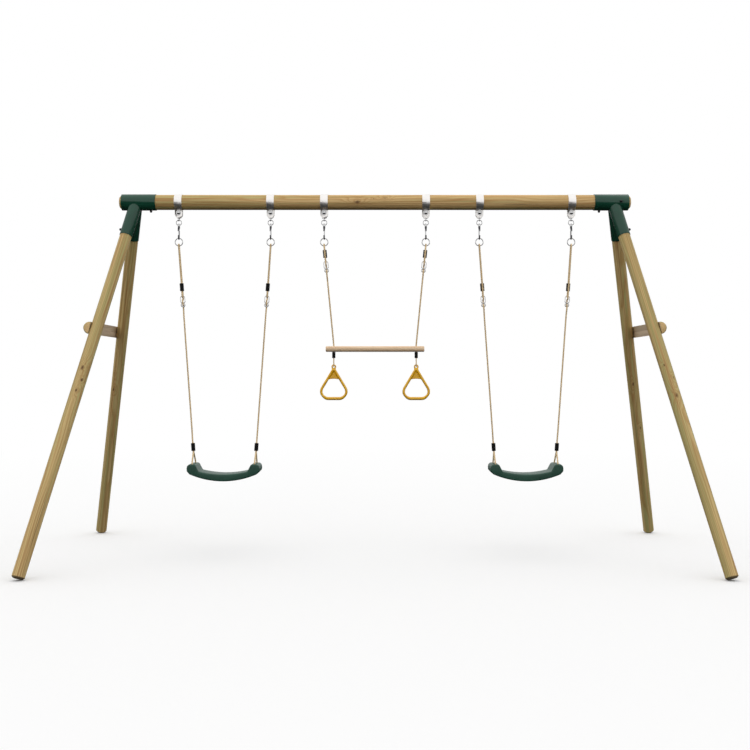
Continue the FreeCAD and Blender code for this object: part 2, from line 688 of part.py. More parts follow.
def seat_outline():
    """Front outline: two arcs for the dished middle, and a raised block at each end."""
    block = [SEAT_TIP] + SEAT_BLOCK + [SEAT_DISH_END]
    right = [V(x, 0, z) for x, z in block]
    left = [V(-x, 0, z) for x, z in reversed(block)]
    bottom = [left[-1], V(0, 0, SEAT_BOTTOM_Z), right[0]]
    top = [right[-1], V(0, 0, SEAT_TOP_Z), left[0]]
    edges = [Part.Arc(*bottom).toShape()]
    edges += [Part.makeLine(a, b) for a, b in zip(right, right[1:])]
    edges.append(Part.Arc(*top).toShape())
    edges += [Part.makeLine(a, b) for a, b in zip(left, left[1:])]
    return Part.Face(Part.Wire(edges))


def seat():
    outline = seat_outline()
    outline.translate(Y_AXIS * -SEAT_HALF_DEPTH)
    body = outline.extrude(Y_AXIS * (2 * SEAT_HALF_DEPTH))
    rims = [edge for edge in body.Edges
            if abs(edge.BoundBox.YLength) < GAP and edge.Length > SEAT_EDGE_CHAMFER]
    body = body.makeChamfer(SEAT_EDGE_CHAMFER, rims)
    cuts = []
    for x in (-SEAT_HOLE_X, SEAT_HOLE_X):
        for y in (-SEAT_HOLE_Y, SEAT_HOLE_Y):
            cuts.append(Part.makeCylinder(SEAT_HOLE_R, SEAT_BOTTOM_Z, V(x, y, SEAT_BOTTOM_Z), Z_AXIS))
        groove_end = SEAT_HOLE_Y + SEAT_GROOVE_HALF_WIDTH
        cuts.append(box((x - SEAT_GROOVE_HALF_WIDTH, x + SEAT_GROOVE_HALF_WIDTH), (-groove_end, groove_end),
                        (SEAT_BOTTOM_Z, SEAT_GROOVE_Z)))
    return body.cut(cuts)


# ---- Trapeze bar and hand rings -------------------------------------------------------------------------

def trapeze_bar():
    half = X_AXIS * (BAR_LENGTH / 2)
    centre = Z_AXIS * BAR_Z
    bar = chamfered_rod(centre - half, centre + half, BAR_R, BAR_CHAMFER)
    bores = [Part.makeCylinder(BAR_HOLE_R, 4 * BAR_R, V(side * BAR_HOLE_X, 0, BAR_Z - 2 * BAR_R), Z_AXIS)
             for side in (LEFT, RIGHT)]
    return bar.cut(bores)


def loop_bottom_z():
    return LUG_HOLE_Z + LUG_HOLE_R - LOOP_ROPE_R - 2 * PIN_GAP


def ring_loop():
    """A short rope loop through the lug of a hand ring, drawn at X = 0."""
    bottom_z = loop_bottom_z()
    straight = 20.0
    half = [V(0, -LOOP_TOP_Y, LOOP_PIVOT_Z), V(0, -LOOP_STRAND_Y, bottom_z + straight),
            V(0, -LOOP_STRAND_Y, bottom_z)]
    points = half + [V(0, -point.y, point.z) for point in reversed(half)]
    bends = [SOFT_BEND, LOOP_BEND, LOOP_BEND, SOFT_BEND]
    knot = Part.makeSphere(LOOP_KNOT_R, Z_AXIS * LOOP_PIVOT_Z)
    return bent_rod(points, bends, LOOP_ROPE_R).fuse(knot)


def rounded_triangle(half_width, bottom_z, corner_r, neck_half_width):
    """Face in the XZ plane: a flat bottom, two round corners and straight sides up to a narrow neck."""
    centre_x = half_width - corner_r
    centre_z = bottom_z + corner_r
    side_x = centre_x + corner_r * math.cos(HAND_RING_SLOPE)
    side_z = centre_z + corner_r * math.sin(HAND_RING_SLOPE)
    neck_z = side_z + (side_x - neck_half_width) / math.tan(HAND_RING_SLOPE)
    middle = (HAND_RING_SLOPE - math.pi / 2) / 2
    mid_x = centre_x + corner_r * math.cos(middle)
    mid_z = centre_z + corner_r * math.sin(middle)
    right = Part.Arc(V(centre_x, 0, bottom_z), V(mid_x, 0, mid_z), V(side_x, 0, side_z)).toShape()
    left = Part.Arc(V(-side_x, 0, side_z), V(-mid_x, 0, mid_z), V(-centre_x, 0, bottom_z)).toShape()
    neck = [V(side_x, 0, side_z), V(neck_half_width, 0, neck_z), V(-neck_half_width, 0, neck_z),
            V(-side_x, 0, side_z)]
    edges = [right]
    edges += [Part.makeLine(a, b) for a, b in zip(neck, neck[1:])]
    edges += [left, Part.makeLine(V(-centre_x, 0, bottom_z), V(centre_x, 0, bottom_z))]
    return Part.Face(Part.Wire(edges))


def slab(face, depth):
    shape = face.translated(Y_AXIS * (-depth / 2))
    return shape.extrude(Y_AXIS * depth)


def hand_ring_opening():
    """The grip opening, closed at the top by the slightly arched edge of the web."""
    half_width = HAND_RING_HALF_WIDTH - HAND_RING_SIDE
    bottom_z = HAND_RING_BOTTOM_Z + HAND_RING_BOTTOM_BAR
    neck_half_width = 4.0
    inner = rounded_triangle(half_width, bottom_z, HAND_RING_CORNER_R - HAND_RING_SIDE, neck_half_width)
    web_half_width = 36.0
    arch_r = (web_half_width ** 2 + WEB_RISE ** 2) / (2 * WEB_RISE)
    arch_centre = V(0, -HAND_RING_DEPTH / 2, WEB_BOTTOM_Z + WEB_RISE - arch_r)
    arch = Part.makeCylinder(arch_r, HAND_RING_DEPTH, arch_centre, Y_AXIS)
    return slab(inner, HAND_RING_DEPTH).common(arch)


def web_pockets():
    """The recess on each face of the web, between the sloping sides."""
    half_width = HAND_RING_HALF_WIDTH - WEB_RIM
    neck_half_width = 5.0
    neck_margin = 12.0
    pocket = rounded_triangle(half_width, HAND_RING_BOTTOM_Z, HAND_RING_CORNER_R - WEB_RIM, neck_half_width)
    half_web = WEB_THICKNESS / 2
    half_depth = HAND_RING_DEPTH / 2
    z_range = (WEB_BOTTOM_Z - WEB_RISE, HAND_RING_NECK_Z - neck_margin)
    windows = [box((-half_width, half_width), y_range, z_range)
               for y_range in ((-half_depth, -half_web), (half_web, half_depth))]
    return [slab(pocket, HAND_RING_DEPTH).common(window) for window in windows]


def hand_ring():
    outer = rounded_triangle(HAND_RING_HALF_WIDTH, HAND_RING_BOTTOM_Z, HAND_RING_CORNER_R, LUG_R)
    shoulder_z = HAND_RING_NECK_Z - 6.0
    below_shoulder = box((-HAND_RING_HALF_WIDTH, HAND_RING_HALF_WIDTH), (-HAND_RING_DEPTH, HAND_RING_DEPTH),
                         (HAND_RING_BOTTOM_Z, shoulder_z))
    body = slab(outer, HAND_RING_DEPTH).common(below_shoulder)
    lug_low_z = HAND_RING_NECK_Z - 20.0
    lug = stadium(2 * LUG_R, LUG_HOLE_Z + LUG_R, lug_low_z, LUG_DEPTH / 2)
    lug_hole = rod(V(0, -LUG_DEPTH, LUG_HOLE_Z), V(0, LUG_DEPTH, LUG_HOLE_Z), LUG_HOLE_R)
    return body.cut([hand_ring_opening()] + web_pockets()).fuse(lug).cut(lug_hole)


# ---- Assembly -------------------------------------------------------------------------------------------

def side_name(side):
    return "left" if side == LEFT else "right"


def clamp_places():
    xs = [swing * SWING_CENTRE_X + side * SWING_CLAMP_SPACING / 2 for swing in (LEFT, RIGHT)
          for side in (LEFT, RIGHT)]
    xs += [side * TRAPEZE_CLAMP_SPACING / 2 for side in (LEFT, RIGHT)]
    return [X_AXIS * x for x in sorted(xs)]


def frame_nodes():
    nodes = {"top_beam": top_beam()}
    for side in (LEFT, RIGHT):
        name = side_name(side)
        nodes[f"leg_{name}_front"] = leg(side, FRONT)
        nodes[f"leg_{name}_back"] = leg(side, BACK)
        nodes[f"corner_bracket_{name}"] = corner_bracket(side)
        nodes[f"brace_{name}"] = brace(side)
    nodes["bracket_screws"] = bracket_screws()
    nodes["brace_bolts"] = brace_bolts()
    for number, place in enumerate(clamp_places(), 1):
        nodes[f"beam_clamp_{number}"] = beam_clamp().translated(place)
    nodes["clamp_bolts"] = copies(clamp_bolt(), clamp_places())
    nodes["clamp_washers"] = Part.makeCompound([copies(w, clamp_places()) for w in clamp_washers()])
    nodes["clamp_nuts"] = copies(clamp_nut(), clamp_places())
    nodes["twisted_links"] = copies(twisted_link(), clamp_places())
    return nodes


def hanger_nodes(prefix, places):
    """The eyes, rings, hooks and gates of one pair of ropes."""
    nodes = {f"{prefix}_swivel_eyes": copies(swivel_eye(), places),
             f"{prefix}_hanging_rings": copies(hanging_ring(), places)}
    for side, place in zip((LEFT, RIGHT), places):
        nodes[f"{prefix}_hook_{side_name(side)}"] = snap_hook().translated(place)
        nodes[f"{prefix}_gate_{side_name(side)}"] = hook_gate().translated(place)
    return nodes


def swing_nodes(swing):
    prefix = f"{side_name(swing)}_swing"
    centre = swing * SWING_CENTRE_X
    places = [X_AXIS * (centre + side * SWING_CLAMP_SPACING / 2) for side in (LEFT, RIGHT)]
    lines = [swing_hanger(swing, side) for side in (LEFT, RIGHT)]
    nodes = hanger_nodes(prefix, places)
    nodes[f"{prefix}_seat"] = seat().translated(X_AXIS * centre)
    nodes[f"{prefix}_adjusters"] = adjusters(lines, SWING_ADJUSTER_TOP_Z)
    nodes[f"{prefix}_sleeves"] = swing_sleeves(swing)
    for side in (LEFT, RIGHT):
        nodes[f"{prefix}_rope_{side_name(side)}"] = swing_rope(swing, side)
    return nodes


def trapeze_nodes():
    places = [X_AXIS * (side * TRAPEZE_CLAMP_SPACING / 2) for side in (LEFT, RIGHT)]
    nodes = hanger_nodes("trapeze", places)
    nodes["trapeze_bar"] = trapeze_bar()
    nodes["trapeze_adjusters"] = adjusters([trapeze_hanger(side) for side in (LEFT, RIGHT)],
                                           TRAPEZE_ADJUSTER_TOP_Z)
    nodes["trapeze_sleeves"] = trapeze_sleeves()
    for side in (LEFT, RIGHT):
        place = X_AXIS * (side * BAR_HOLE_X)
        nodes[f"trapeze_rope_{side_name(side)}"] = trapeze_rope(side)
        nodes[f"ring_loop_{side_name(side)}"] = ring_loop().translated(place)
        nodes[f"hand_ring_{side_name(side)}"] = hand_ring().translated(place)
    return nodes


def main():
    os.makedirs("parts", exist_ok=True)
    nodes = frame_nodes()
    nodes.update(swing_nodes(LEFT))
    nodes.update(swing_nodes(RIGHT))
    nodes.update(trapeze_nodes())
    for name, shape in nodes.items():
        shape.exportStep(f"parts/{name}.step")


main()
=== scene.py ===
import json
import math

import bmesh
import bpy
import numpy as np
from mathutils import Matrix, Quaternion, Vector


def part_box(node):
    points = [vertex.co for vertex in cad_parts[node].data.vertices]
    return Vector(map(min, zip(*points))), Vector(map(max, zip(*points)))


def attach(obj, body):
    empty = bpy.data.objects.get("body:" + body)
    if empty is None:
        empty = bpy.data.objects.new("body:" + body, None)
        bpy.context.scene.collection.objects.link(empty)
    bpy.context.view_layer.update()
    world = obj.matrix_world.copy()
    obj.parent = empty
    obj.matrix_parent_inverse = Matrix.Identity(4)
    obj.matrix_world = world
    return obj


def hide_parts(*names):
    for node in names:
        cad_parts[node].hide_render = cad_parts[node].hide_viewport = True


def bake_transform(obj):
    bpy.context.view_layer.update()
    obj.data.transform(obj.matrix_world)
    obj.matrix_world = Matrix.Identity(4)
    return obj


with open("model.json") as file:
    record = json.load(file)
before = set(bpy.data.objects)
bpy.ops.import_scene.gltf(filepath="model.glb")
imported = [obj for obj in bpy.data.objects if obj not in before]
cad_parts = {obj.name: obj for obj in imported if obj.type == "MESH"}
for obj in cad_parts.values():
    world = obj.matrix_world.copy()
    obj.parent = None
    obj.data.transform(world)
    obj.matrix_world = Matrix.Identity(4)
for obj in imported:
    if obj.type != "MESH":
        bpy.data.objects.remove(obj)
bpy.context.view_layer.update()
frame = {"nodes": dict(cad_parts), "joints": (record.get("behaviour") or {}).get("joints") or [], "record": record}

# Looks of the swing set. Metres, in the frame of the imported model: +X along the beam, -Y to the front.

MM = 0.001
MOUNTS = {mount["name"]: mount for mount in frame["record"]["mounts"]}
LEFT, RIGHT = -1, 1
FRONT, BACK = -1, 1
SIDE_NAMES = {LEFT: "left", RIGHT: "right"}
FACE_NAMES = {FRONT: "front", BACK: "back"}

# Timber
LEG_R = 34 * MM
LEG_LEAN = math.radians(11.572)
LEG_CHAMFER = 7 * MM
BEAM_CHAMFER = 12 * MM
BAR_CHAMFER = 3 * MM
BAR_HOLE_R = 6.4 * MM
CHECK_DEPTH = 1.6 * MM
UNEVENNESS = 0.12 * MM
# Painted shade at each leg's foot: none above the first height along the leg, full below the second
FOOT_SHADE_HEIGHTS = (11 * MM, 6 * MM)
PITH_DRIFT = 0.06
KNOT_SQUEEZE = 0.55
KNOT_REACH = 6.5

# Knots: height along the timber from its foot (or the beam's left end), turn from the front, core radius
BEAM_KNOTS = ((1.395, 0.10, 9 * MM), (1.556, -0.5, 6 * MM), (1.49, -0.35, 3 * MM), (0.52, 2.4, 8 * MM),
              (2.35, 3.4, 7 * MM))
LEG_KNOTS = {
    (LEFT, FRONT): ((1.172, 0.0, 9 * MM), (1.10, 0.5, 5 * MM), (1.035, 0.1, 5 * MM), (0.4, 2.8, 8 * MM)),
    (RIGHT, FRONT): ((1.005, 0.1, 9 * MM), (1.11, 0.5, 4 * MM), (1.19, -0.4, 4 * MM), (1.75, 2.5, 7 * MM)),
    (LEFT, BACK): ((1.05, -0.3, 6 * MM), (1.16, -0.6, 4 * MM), (0.55, 3.0, 8 * MM)),
    (RIGHT, BACK): ((1.09, -0.2, 6 * MM), (0.78, 0.3, 4 * MM), (1.5, 3.3, 8 * MM)),
}

# Ropes and their fittings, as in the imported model
ROPE_R = 5 * MM
ROPE_PITCH = 34 * MM
ROPE_STEP = 2.6 * MM
STRAND_SHARE = 0.57
STRAND_Y = 5.2 * MM
WEAVE_Y = 7.4 * MM
OUTER_STRAND_Y = 17.6 * MM
ROPE_BEND = 7.3 * MM
SOFT_BEND = 15 * MM
HOLE_BEND = 5.2 * MM
ROPE_LEAD = 6 * MM
RING_BAR_R = 3 * MM
SLEEVE_R = 12 * MM
SLEEVE_LENGTH = 46 * MM
BAR_SLEEVE_R = 10 * MM
ADJUSTER_BAR = 4.5 * MM
LONG_EYE_RIM_R = 15 * MM
LONG_EYE_LENGTH = 39 * MM
SMALL_EYE_R = 7 * MM
SMALL_EYE_RIM_R = 14 * MM
LOOP_ROPE_R = 3.5 * MM
LOOP_STEP = 1.8 * MM
LOOP_PITCH = 24 * MM
LOOP_HALF_WIDTH = 9.3 * MM
LOOP_HALF_NECK = 3.6 * MM
SEAT_HOLE_X = 182 * MM
SEAT_HOLE_Y = 58 * MM
UNDER_SEAT_ROPE_Z = 474.5 * MM
ABOVE_SEAT_Z = 538 * MM

# Seat outline in millimetres: arcs through three points from the middle outward, then corners to the tip
SEAT_DISH = ((0, 472.0), (72, 476.5), (141, 489.3))
SEAT_BLOCK = [(160, 526), (169, 531), (199, 529.7), (209.5, 521), (212, 506)]
SEAT_UNDERSIDE = ((0, 431.6), (100, 441.9), (195, 472.0))
SEAT_TIP = [(211.5, 490), (212, 505)]
SEAT_STATIONS = 110
SEAT_HALF_DEPTH = 80 * MM
SEAT_CORNER_R = 8 * MM
SEAT_TIP_FROM = 196 * MM
SEAT_TIP_REACH = 17 * MM
SEAT_TIP_SHRINK = 6 * MM
SEAT_GROOVE_TOP = 480.1 * MM
SEAT_GROOVE_HALF_WIDTH = 7 * MM

# Hand rings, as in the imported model
RING_SLOPE = math.radians(31)
RING_SIDE_R = 7.9 * MM
RING_HALF_DEPTH = 11 * MM
RING_CORNER_R = 50 * MM
RING_WEB_Z = 1024 * MM
RING_WEB_HALF_DEPTH = 3.6 * MM
RING_LUG_Z = 1099.5 * MM
RING_LUG_R = 10.1 * MM


# ---- Mesh helpers ---------------------------------------------------------------------------------------

def mesh_object(name, vertices, faces, smooth=True):
    """A new mesh object whose vertices are already in place."""
    mesh = bpy.data.meshes.new(name)
    mesh.from_pydata([tuple(v) for v in vertices], [], [tuple(f) for f in faces])
    mesh.update()
    piece = bpy.data.objects.new(name, mesh)
    bpy.context.scene.collection.objects.link(piece)
    if smooth:
        mesh.shade_smooth()
    return piece


def finish_piece(piece, body, material, slot, *nodes):
    """Gives a piece its material and its body, and hides the CAD nodes it stands for; the slot is not used."""
    piece.data.materials.clear()
    piece.data.materials.append(material)
    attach(piece, body)
    if nodes:
        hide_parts(*nodes)
    return piece


def applied(piece):
    """The piece with its modifiers turned into plain mesh."""
    evaluated = piece.evaluated_get(bpy.context.evaluated_depsgraph_get())
    mesh = bpy.data.meshes.new_from_object(evaluated)
    piece.modifiers.clear()
    piece.data = mesh
    return piece


def joined(name, pieces):
    """One object that holds the meshes of several pieces, which are then removed."""
    merged = bmesh.new()
    for piece in pieces:
        merged.from_mesh(piece.data)
        bpy.data.objects.remove(piece)
    mesh = bpy.data.meshes.new(name)
    merged.to_mesh(mesh)
    merged.free()
    result = bpy.data.objects.new(name, mesh)
    bpy.context.scene.collection.objects.link(result)
    return result


def sharp_by_angle(piece, degrees):
    """Keeps edges sharper than the angle crisp on a smooth mesh."""
    piece.data.shade_smooth()
    piece.data.set_sharp_from_angle(angle=math.radians(degrees))
    return piece


def cut(piece, *cutters):
    """Takes the cutters away from the piece."""
    for cutter in cutters:
        modifier = piece.modifiers.new("cut", "BOOLEAN")
        modifier.operation = "DIFFERENCE"
        modifier.object = cutter
        modifier.solver = "EXACT"
    applied(piece)
    for cutter in cutters:
        bpy.data.objects.remove(cutter)
    return piece


def refined(name, node, width, degrees=35):
    """A copy of a CAD node whose sharp edges are eased."""
    shape = bmesh.new()
    shape.from_mesh(frame["nodes"][node].data)
    bmesh.ops.remove_doubles(shape, verts=shape.verts, dist=1e-6)
    bmesh.ops.dissolve_limit(shape, angle_limit=math.radians(1), verts=shape.verts, edges=shape.edges)
    mesh = bpy.data.meshes.new(name)
    shape.to_mesh(mesh)
    shape.free()
    piece = bpy.data.objects.new(name, mesh)
    bpy.context.scene.collection.objects.link(piece)
    ease = piece.modifiers.new("ease", "BEVEL")
    ease.width = width
    ease.segments = 2
    ease.limit_method = "ANGLE"
    ease.angle_limit = math.radians(degrees)
    ease.harden_normals = True
    applied(piece)
    return sharp_by_angle(piece, degrees)


def side_directions(axis):
    """Two unit directions square to an axis and to each other."""
    axis = Vector(axis).normalized()
    guide = Vector((0, 1, 0)) if abs(axis.y) < 0.9 else Vector((1, 0, 0))
    first = axis.cross(guide).normalized()
    return first, axis.cross(first).normalized()


def ring_faces(rings, segments, closed=False):
    """Quads that join consecutive rings of points."""
    faces = []
    count = rings if closed else rings - 1
    for i in range(count):
        a = i * segments
        b = ((i + 1) % rings) * segments
        for j in range(segments):
            k = (j + 1) % segments
            faces.append((a + j, a + k, b + k, b + j))
    return faces


def capped(faces, rings, segments):
    """The faces with a cap over the first and the last ring."""
    last = (rings - 1) * segments
    return faces + [tuple(reversed(range(segments))), tuple(range(last, last + segments))]


def lathe(name, origin, axis, profile, segments=48, smooth_angle=35, hollow=False):
    """A turned piece from (radius, height) pairs: closed by flat ends, or a ring if it is hollow."""
    origin = Vector(origin)
    axis = Vector(axis).normalized()
    across, up = side_directions(axis)
    vertices = []
    for radius, height in profile:
        for j in range(segments):
            angle = math.tau * j / segments
            vertices.append(origin + axis * height + (across * math.cos(angle) + up * math.sin(angle)) * radius)
    faces = ring_faces(len(profile), segments, hollow)
    if not hollow:
        faces = capped(faces, len(profile), segments)
    return sharp_by_angle(mesh_object(name, vertices, faces), smooth_angle)


def rounded_points(points, bends, step, closed=False):
    """Points every step or so along a path whose corners are rounded to the given bend radii."""
    count = len(points)
    corners = range(count) if closed else range(1, count - 1)
    result = [] if closed else [points[0]]
    for i in corners:
        here = points[i]
        back = (points[i - 1] - here).normalized()
        ahead = (points[(i + 1) % count] - here).normalized()
        half = back.angle(ahead) / 2
        bend = bends[i % count if closed else i - 1]
        centre = here + (back + ahead).normalized() * (bend / math.sin(half))
        start = here + back * (bend / math.tan(half))
        axis = (start - centre).cross(here - centre).normalized()
        turn = math.pi - 2 * half
        pieces = max(2, math.ceil(bend * turn / step))
        for k in range(pieces + 1):
            result.append(centre + Quaternion(axis, turn * k / pieces) @ (start - centre))
    if not closed:
        result.append(points[-1])
    return resampled(result, step, closed)


def resampled(points, step, closed):
    """The same path with evenly spaced points."""
    path = np.array([tuple(p) for p in points])
    if closed:
        path = np.vstack([path, path[:1]])
    lengths = np.concatenate([[0], np.cumsum(np.linalg.norm(np.diff(path, axis=0), axis=1))])
    keep = np.concatenate([[True], np.diff(lengths) > 1e-7])
    path, lengths = path[keep], lengths[keep]
    count = max(4, round(lengths[-1] / step))
    stations = np.linspace(0, lengths[-1], count + 1)
    if closed:
        stations = stations[:-1]
    return np.stack([np.interp(stations, lengths, path[:, k]) for k in range(3)], axis=1)


def transported_frames(path, closed=False):
    """Tangent, normal and binormal along a path, carried along it without extra twist."""
    ahead = np.roll(path, -1, axis=0) - path
    behind = path - np.roll(path, 1, axis=0)
    if not closed:
        ahead[-1] = behind[-1]
        behind[0] = ahead[0]
    tangents = ahead + behind
    tangents /= np.linalg.norm(tangents, axis=1)[:, None]
    first, _ = side_directions(tangents[0])
    normals = [np.array(first)]
    for previous, tangent in zip(tangents, tangents[1:]):
        normal = Vector(normals[-1])
        normal.rotate(Vector(previous).rotation_difference(Vector(tangent)))
        normals.append(np.array(normal))
    normals = np.array(normals)
    normals -= (normals * tangents).sum(axis=1)[:, None] * tangents
    normals /= np.linalg.norm(normals, axis=1)[:, None]
    return tangents, normals, np.cross(tangents, normals)


def swept(name, path, normals, binormals, half_width, half_depth, power=2.0, segments=16, closed=True):
    """A bar swept along a path; its section is a superellipse from round (power 2) to nearly square."""
    vertices = []
    for point, normal, binormal in zip(path, normals, binormals):
        for j in range(segments):
            angle = math.tau * j / segments
            c = math.cos(angle)
            s = math.sin(angle)
            a = math.copysign(abs(c) ** (2 / power), c) * half_width
            b = math.copysign(abs(s) ** (2 / power), s) * half_depth
            vertices.append(point + normal * a + binormal * b)
    faces = ring_faces(len(path), segments, closed)
    if not closed:
        faces = capped(faces, len(path), segments)
    return mesh_object(name, vertices, faces)


def flat_ring(name, path, half_width, half_depth, power=2.0, segments=16):
    """A closed bar swept along a path that lies in an XZ plane."""
    ahead = np.roll(path, -1, axis=0) - np.roll(path, 1, axis=0)
    ahead /= np.linalg.norm(ahead, axis=1)[:, None]
    depth = np.tile(np.array([0.0, 1.0, 0.0]), (len(path), 1))
    return swept(name, path, np.cross(depth, ahead), depth, half_width, half_depth, power, segments)


# ---- Materials ------------------------------------------------------------------------------------------

def linear(red, green, blue):
    """A screen colour (0 to 255) as the linear colour that the shaders use."""
    def channel(value):
        share = value / 255
        return share / 12.92 if share <= 0.04045 else ((share + 0.055) / 1.055) ** 2.4
    return (channel(red), channel(green), channel(blue), 1.0)


class Value:
    """The output of a shader node, which takes the usual signs."""

    def __init__(self, shader, socket):
        self.shader = shader
        self.socket = socket

    def __add__(self, other):
        return self.shader.math("ADD", self, other)

    def __sub__(self, other):
        return self.shader.math("SUBTRACT", self, other)

    def __rsub__(self, other):
        return self.shader.math("SUBTRACT", other, self)

    def __mul__(self, other):
        return self.shader.math("MULTIPLY", self, other)

    def __truediv__(self, other):
        return self.shader.math("DIVIDE", self, other)

    __radd__ = __add__
    __rmul__ = __mul__


class Shader:
    """One procedural material, with short calls that add and link its nodes."""

    def __init__(self, name):
        self.material = bpy.data.materials.new(name)
        self.material.use_nodes = True
        self.tree = self.material.node_tree
        self.surface = self.tree.nodes["Principled BSDF"]

    def feed(self, socket, value):
        if isinstance(value, Value):
            self.tree.links.new(value.socket, socket)
        else:
            socket.default_value = value

    def node(self, kind, inputs=None, **settings):
        node = self.tree.nodes.new(kind)
        for key, value in settings.items():
            setattr(node, key, value)
        for key, value in (inputs or {}).items():
            self.feed(node.inputs[key], value)
        return node

    def value(self, kind, inputs=None, output=0, **settings):
        return Value(self, self.node(kind, inputs, **settings).outputs[output])

    def place(self):
        """Coordinates that stay with the piece, in metres."""
        return self.value("ShaderNodeTexCoord", output="Object")

    def math(self, operation, first, second=0.0, clamp=False):
        return self.value("ShaderNodeMath", {0: first, 1: second}, operation=operation, use_clamp=clamp)

    def vector(self, operation, first, second=(0, 0, 0)):
        output = "Value" if operation in ("DOT_PRODUCT", "LENGTH") else "Vector"
        return self.value("ShaderNodeVectorMath", {0: first, 1: second}, output, operation=operation)

    def combine(self, x, y, z):
        return self.value("ShaderNodeCombineXYZ", {0: x, 1: y, 2: z})

    def noise(self, vector, scale, detail=3.0, distortion=0.0):
        return self.value("ShaderNodeTexNoise", {"Vector": vector, "Scale": scale, "Detail": detail,
                                                 "Distortion": distortion})

    def spots(self, scale, detail=3.0, distortion=0.0):
        """Noise fixed to the piece."""
        return self.noise(self.place(), scale, detail, distortion)

    def flow(self, along, across, detail=3.0, distortion=0.0):
        """Noise fixed to the piece, with one scale along X and another across it."""
        stretched = self.vector("MULTIPLY", self.place(), (along, across, across))
        return self.noise(stretched, 1.0, detail, distortion)

    def ramp(self, factor, *stops):
        node = self.node("ShaderNodeValToRGB", {0: factor})
        set_stops(node.color_ramp.elements, stops)
        return Value(self, node.outputs[0])

    def mix(self, factor, first, second):
        return self.value("ShaderNodeMix", {0: factor, 6: first, 7: second}, 2, data_type="RGBA")

    def bump(self, height, strength, distance, under=None):
        inputs = {"Height": height, "Strength": strength, "Distance": distance}
        if under is not None:
            inputs["Normal"] = under
        return self.value("ShaderNodeBump", inputs)

    def finish(self, **inputs):
        """Feeds the surface; underscores in the names stand for spaces."""
        for key, value in inputs.items():
            self.feed(self.surface.inputs[key.replace("_", " ")], value)
        return self.material


def set_stops(elements, stops):
    """Gives a colour ramp its stops, each a position and a grey."""
    while len(elements) < len(stops):
        elements.new(0.5)
    for element, (position, grey) in zip(elements, stops):
        element.position = position
        element.color = (grey, grey, grey, 1.0)


class Grain:
    """Directions of a timber: Z along it, X and Y across it, moved on by the seed so no two pieces match."""

    def __init__(self, shader, start, axis, seed):
        self.shader = shader
        self.start = Vector(start)
        self.axis = Vector(axis).normalized()
        self.shift = seed * 7.3
        self.directions = [*side_directions(self.axis), self.axis]
        place = shader.vector("SUBTRACT", shader.place(), tuple(self.start))
        self.x, self.y, along = (shader.vector("DOT_PRODUCT", place, tuple(d)) for d in self.directions)
        self.z = along + self.shift

    def local(self, point):
        x, y, along = ((Vector(point) - self.start).dot(direction) for direction in self.directions)
        return x, y, along + self.shift

    def stretched(self, across, along):
        """Coordinates scaled by one factor across the grain and another along it."""
        return self.shader.combine(self.x * across, self.y * across, self.z * along)

    def noise(self, across, along, detail=2.0, distortion=0.0):
        return self.shader.noise(self.stretched(across, along), 1.0, detail, distortion)


def knot_fields(grain, knots):
    """Two fields summed over the knots: the swirl of the grain round each knot, and its dark core."""
    shader = grain.shader
    wobble = grain.noise(60.0, 40.0) * (12 * MM)
    swirl = 0.0
    core = 0.0
    for point, radius in knots:
        x, y, z = grain.local(point)
        gap = shader.vector("LENGTH", shader.combine(grain.x - x, grain.y - y, (grain.z - z) * KNOT_SQUEEZE))
        gap = gap + wobble - 6 * MM
        halo = shader.math("SUBTRACT", 1.0, gap / (KNOT_REACH * radius), clamp=True)
        swirl = swirl + shader.math("POWER", halo, 1.6)
        dark = shader.math("SUBTRACT", 1.25, gap / radius, clamp=True)
        core = shader.math("ADD", core, dark, clamp=True)
    return swirl, core


def growth_rings(grain, pith, ring_rate, swirl):
    """The dark late wood of rings about the pith, which wanders along the timber and bends round knots."""
    shader = grain.shader
    place = grain.stretched(9.0, 1.1)
    drift = shader.value("ShaderNodeTexNoise", {"Vector": place, "Scale": 1.0, "Detail": 2.0}, "Color")
    drift = shader.vector("SUBTRACT", drift, (0.5, 0.5, 0.5))
    drift = shader.vector("MULTIPLY", drift, (PITH_DRIFT, PITH_DRIFT, 0.0))
    centred = shader.combine(grain.x + pith[0], grain.y + pith[1], 0.0)
    radius = shader.vector("LENGTH", shader.vector("ADD", centred, drift))
    rings = radius * ring_rate + swirl * 3.2
    return shader.ramp(shader.math("FRACT", rings), (0.0, 0.35), (0.10, 0.0), (0.45, 0.08), (0.80, 0.9),
                       (0.92, 1.0), (1.0, 0.35))


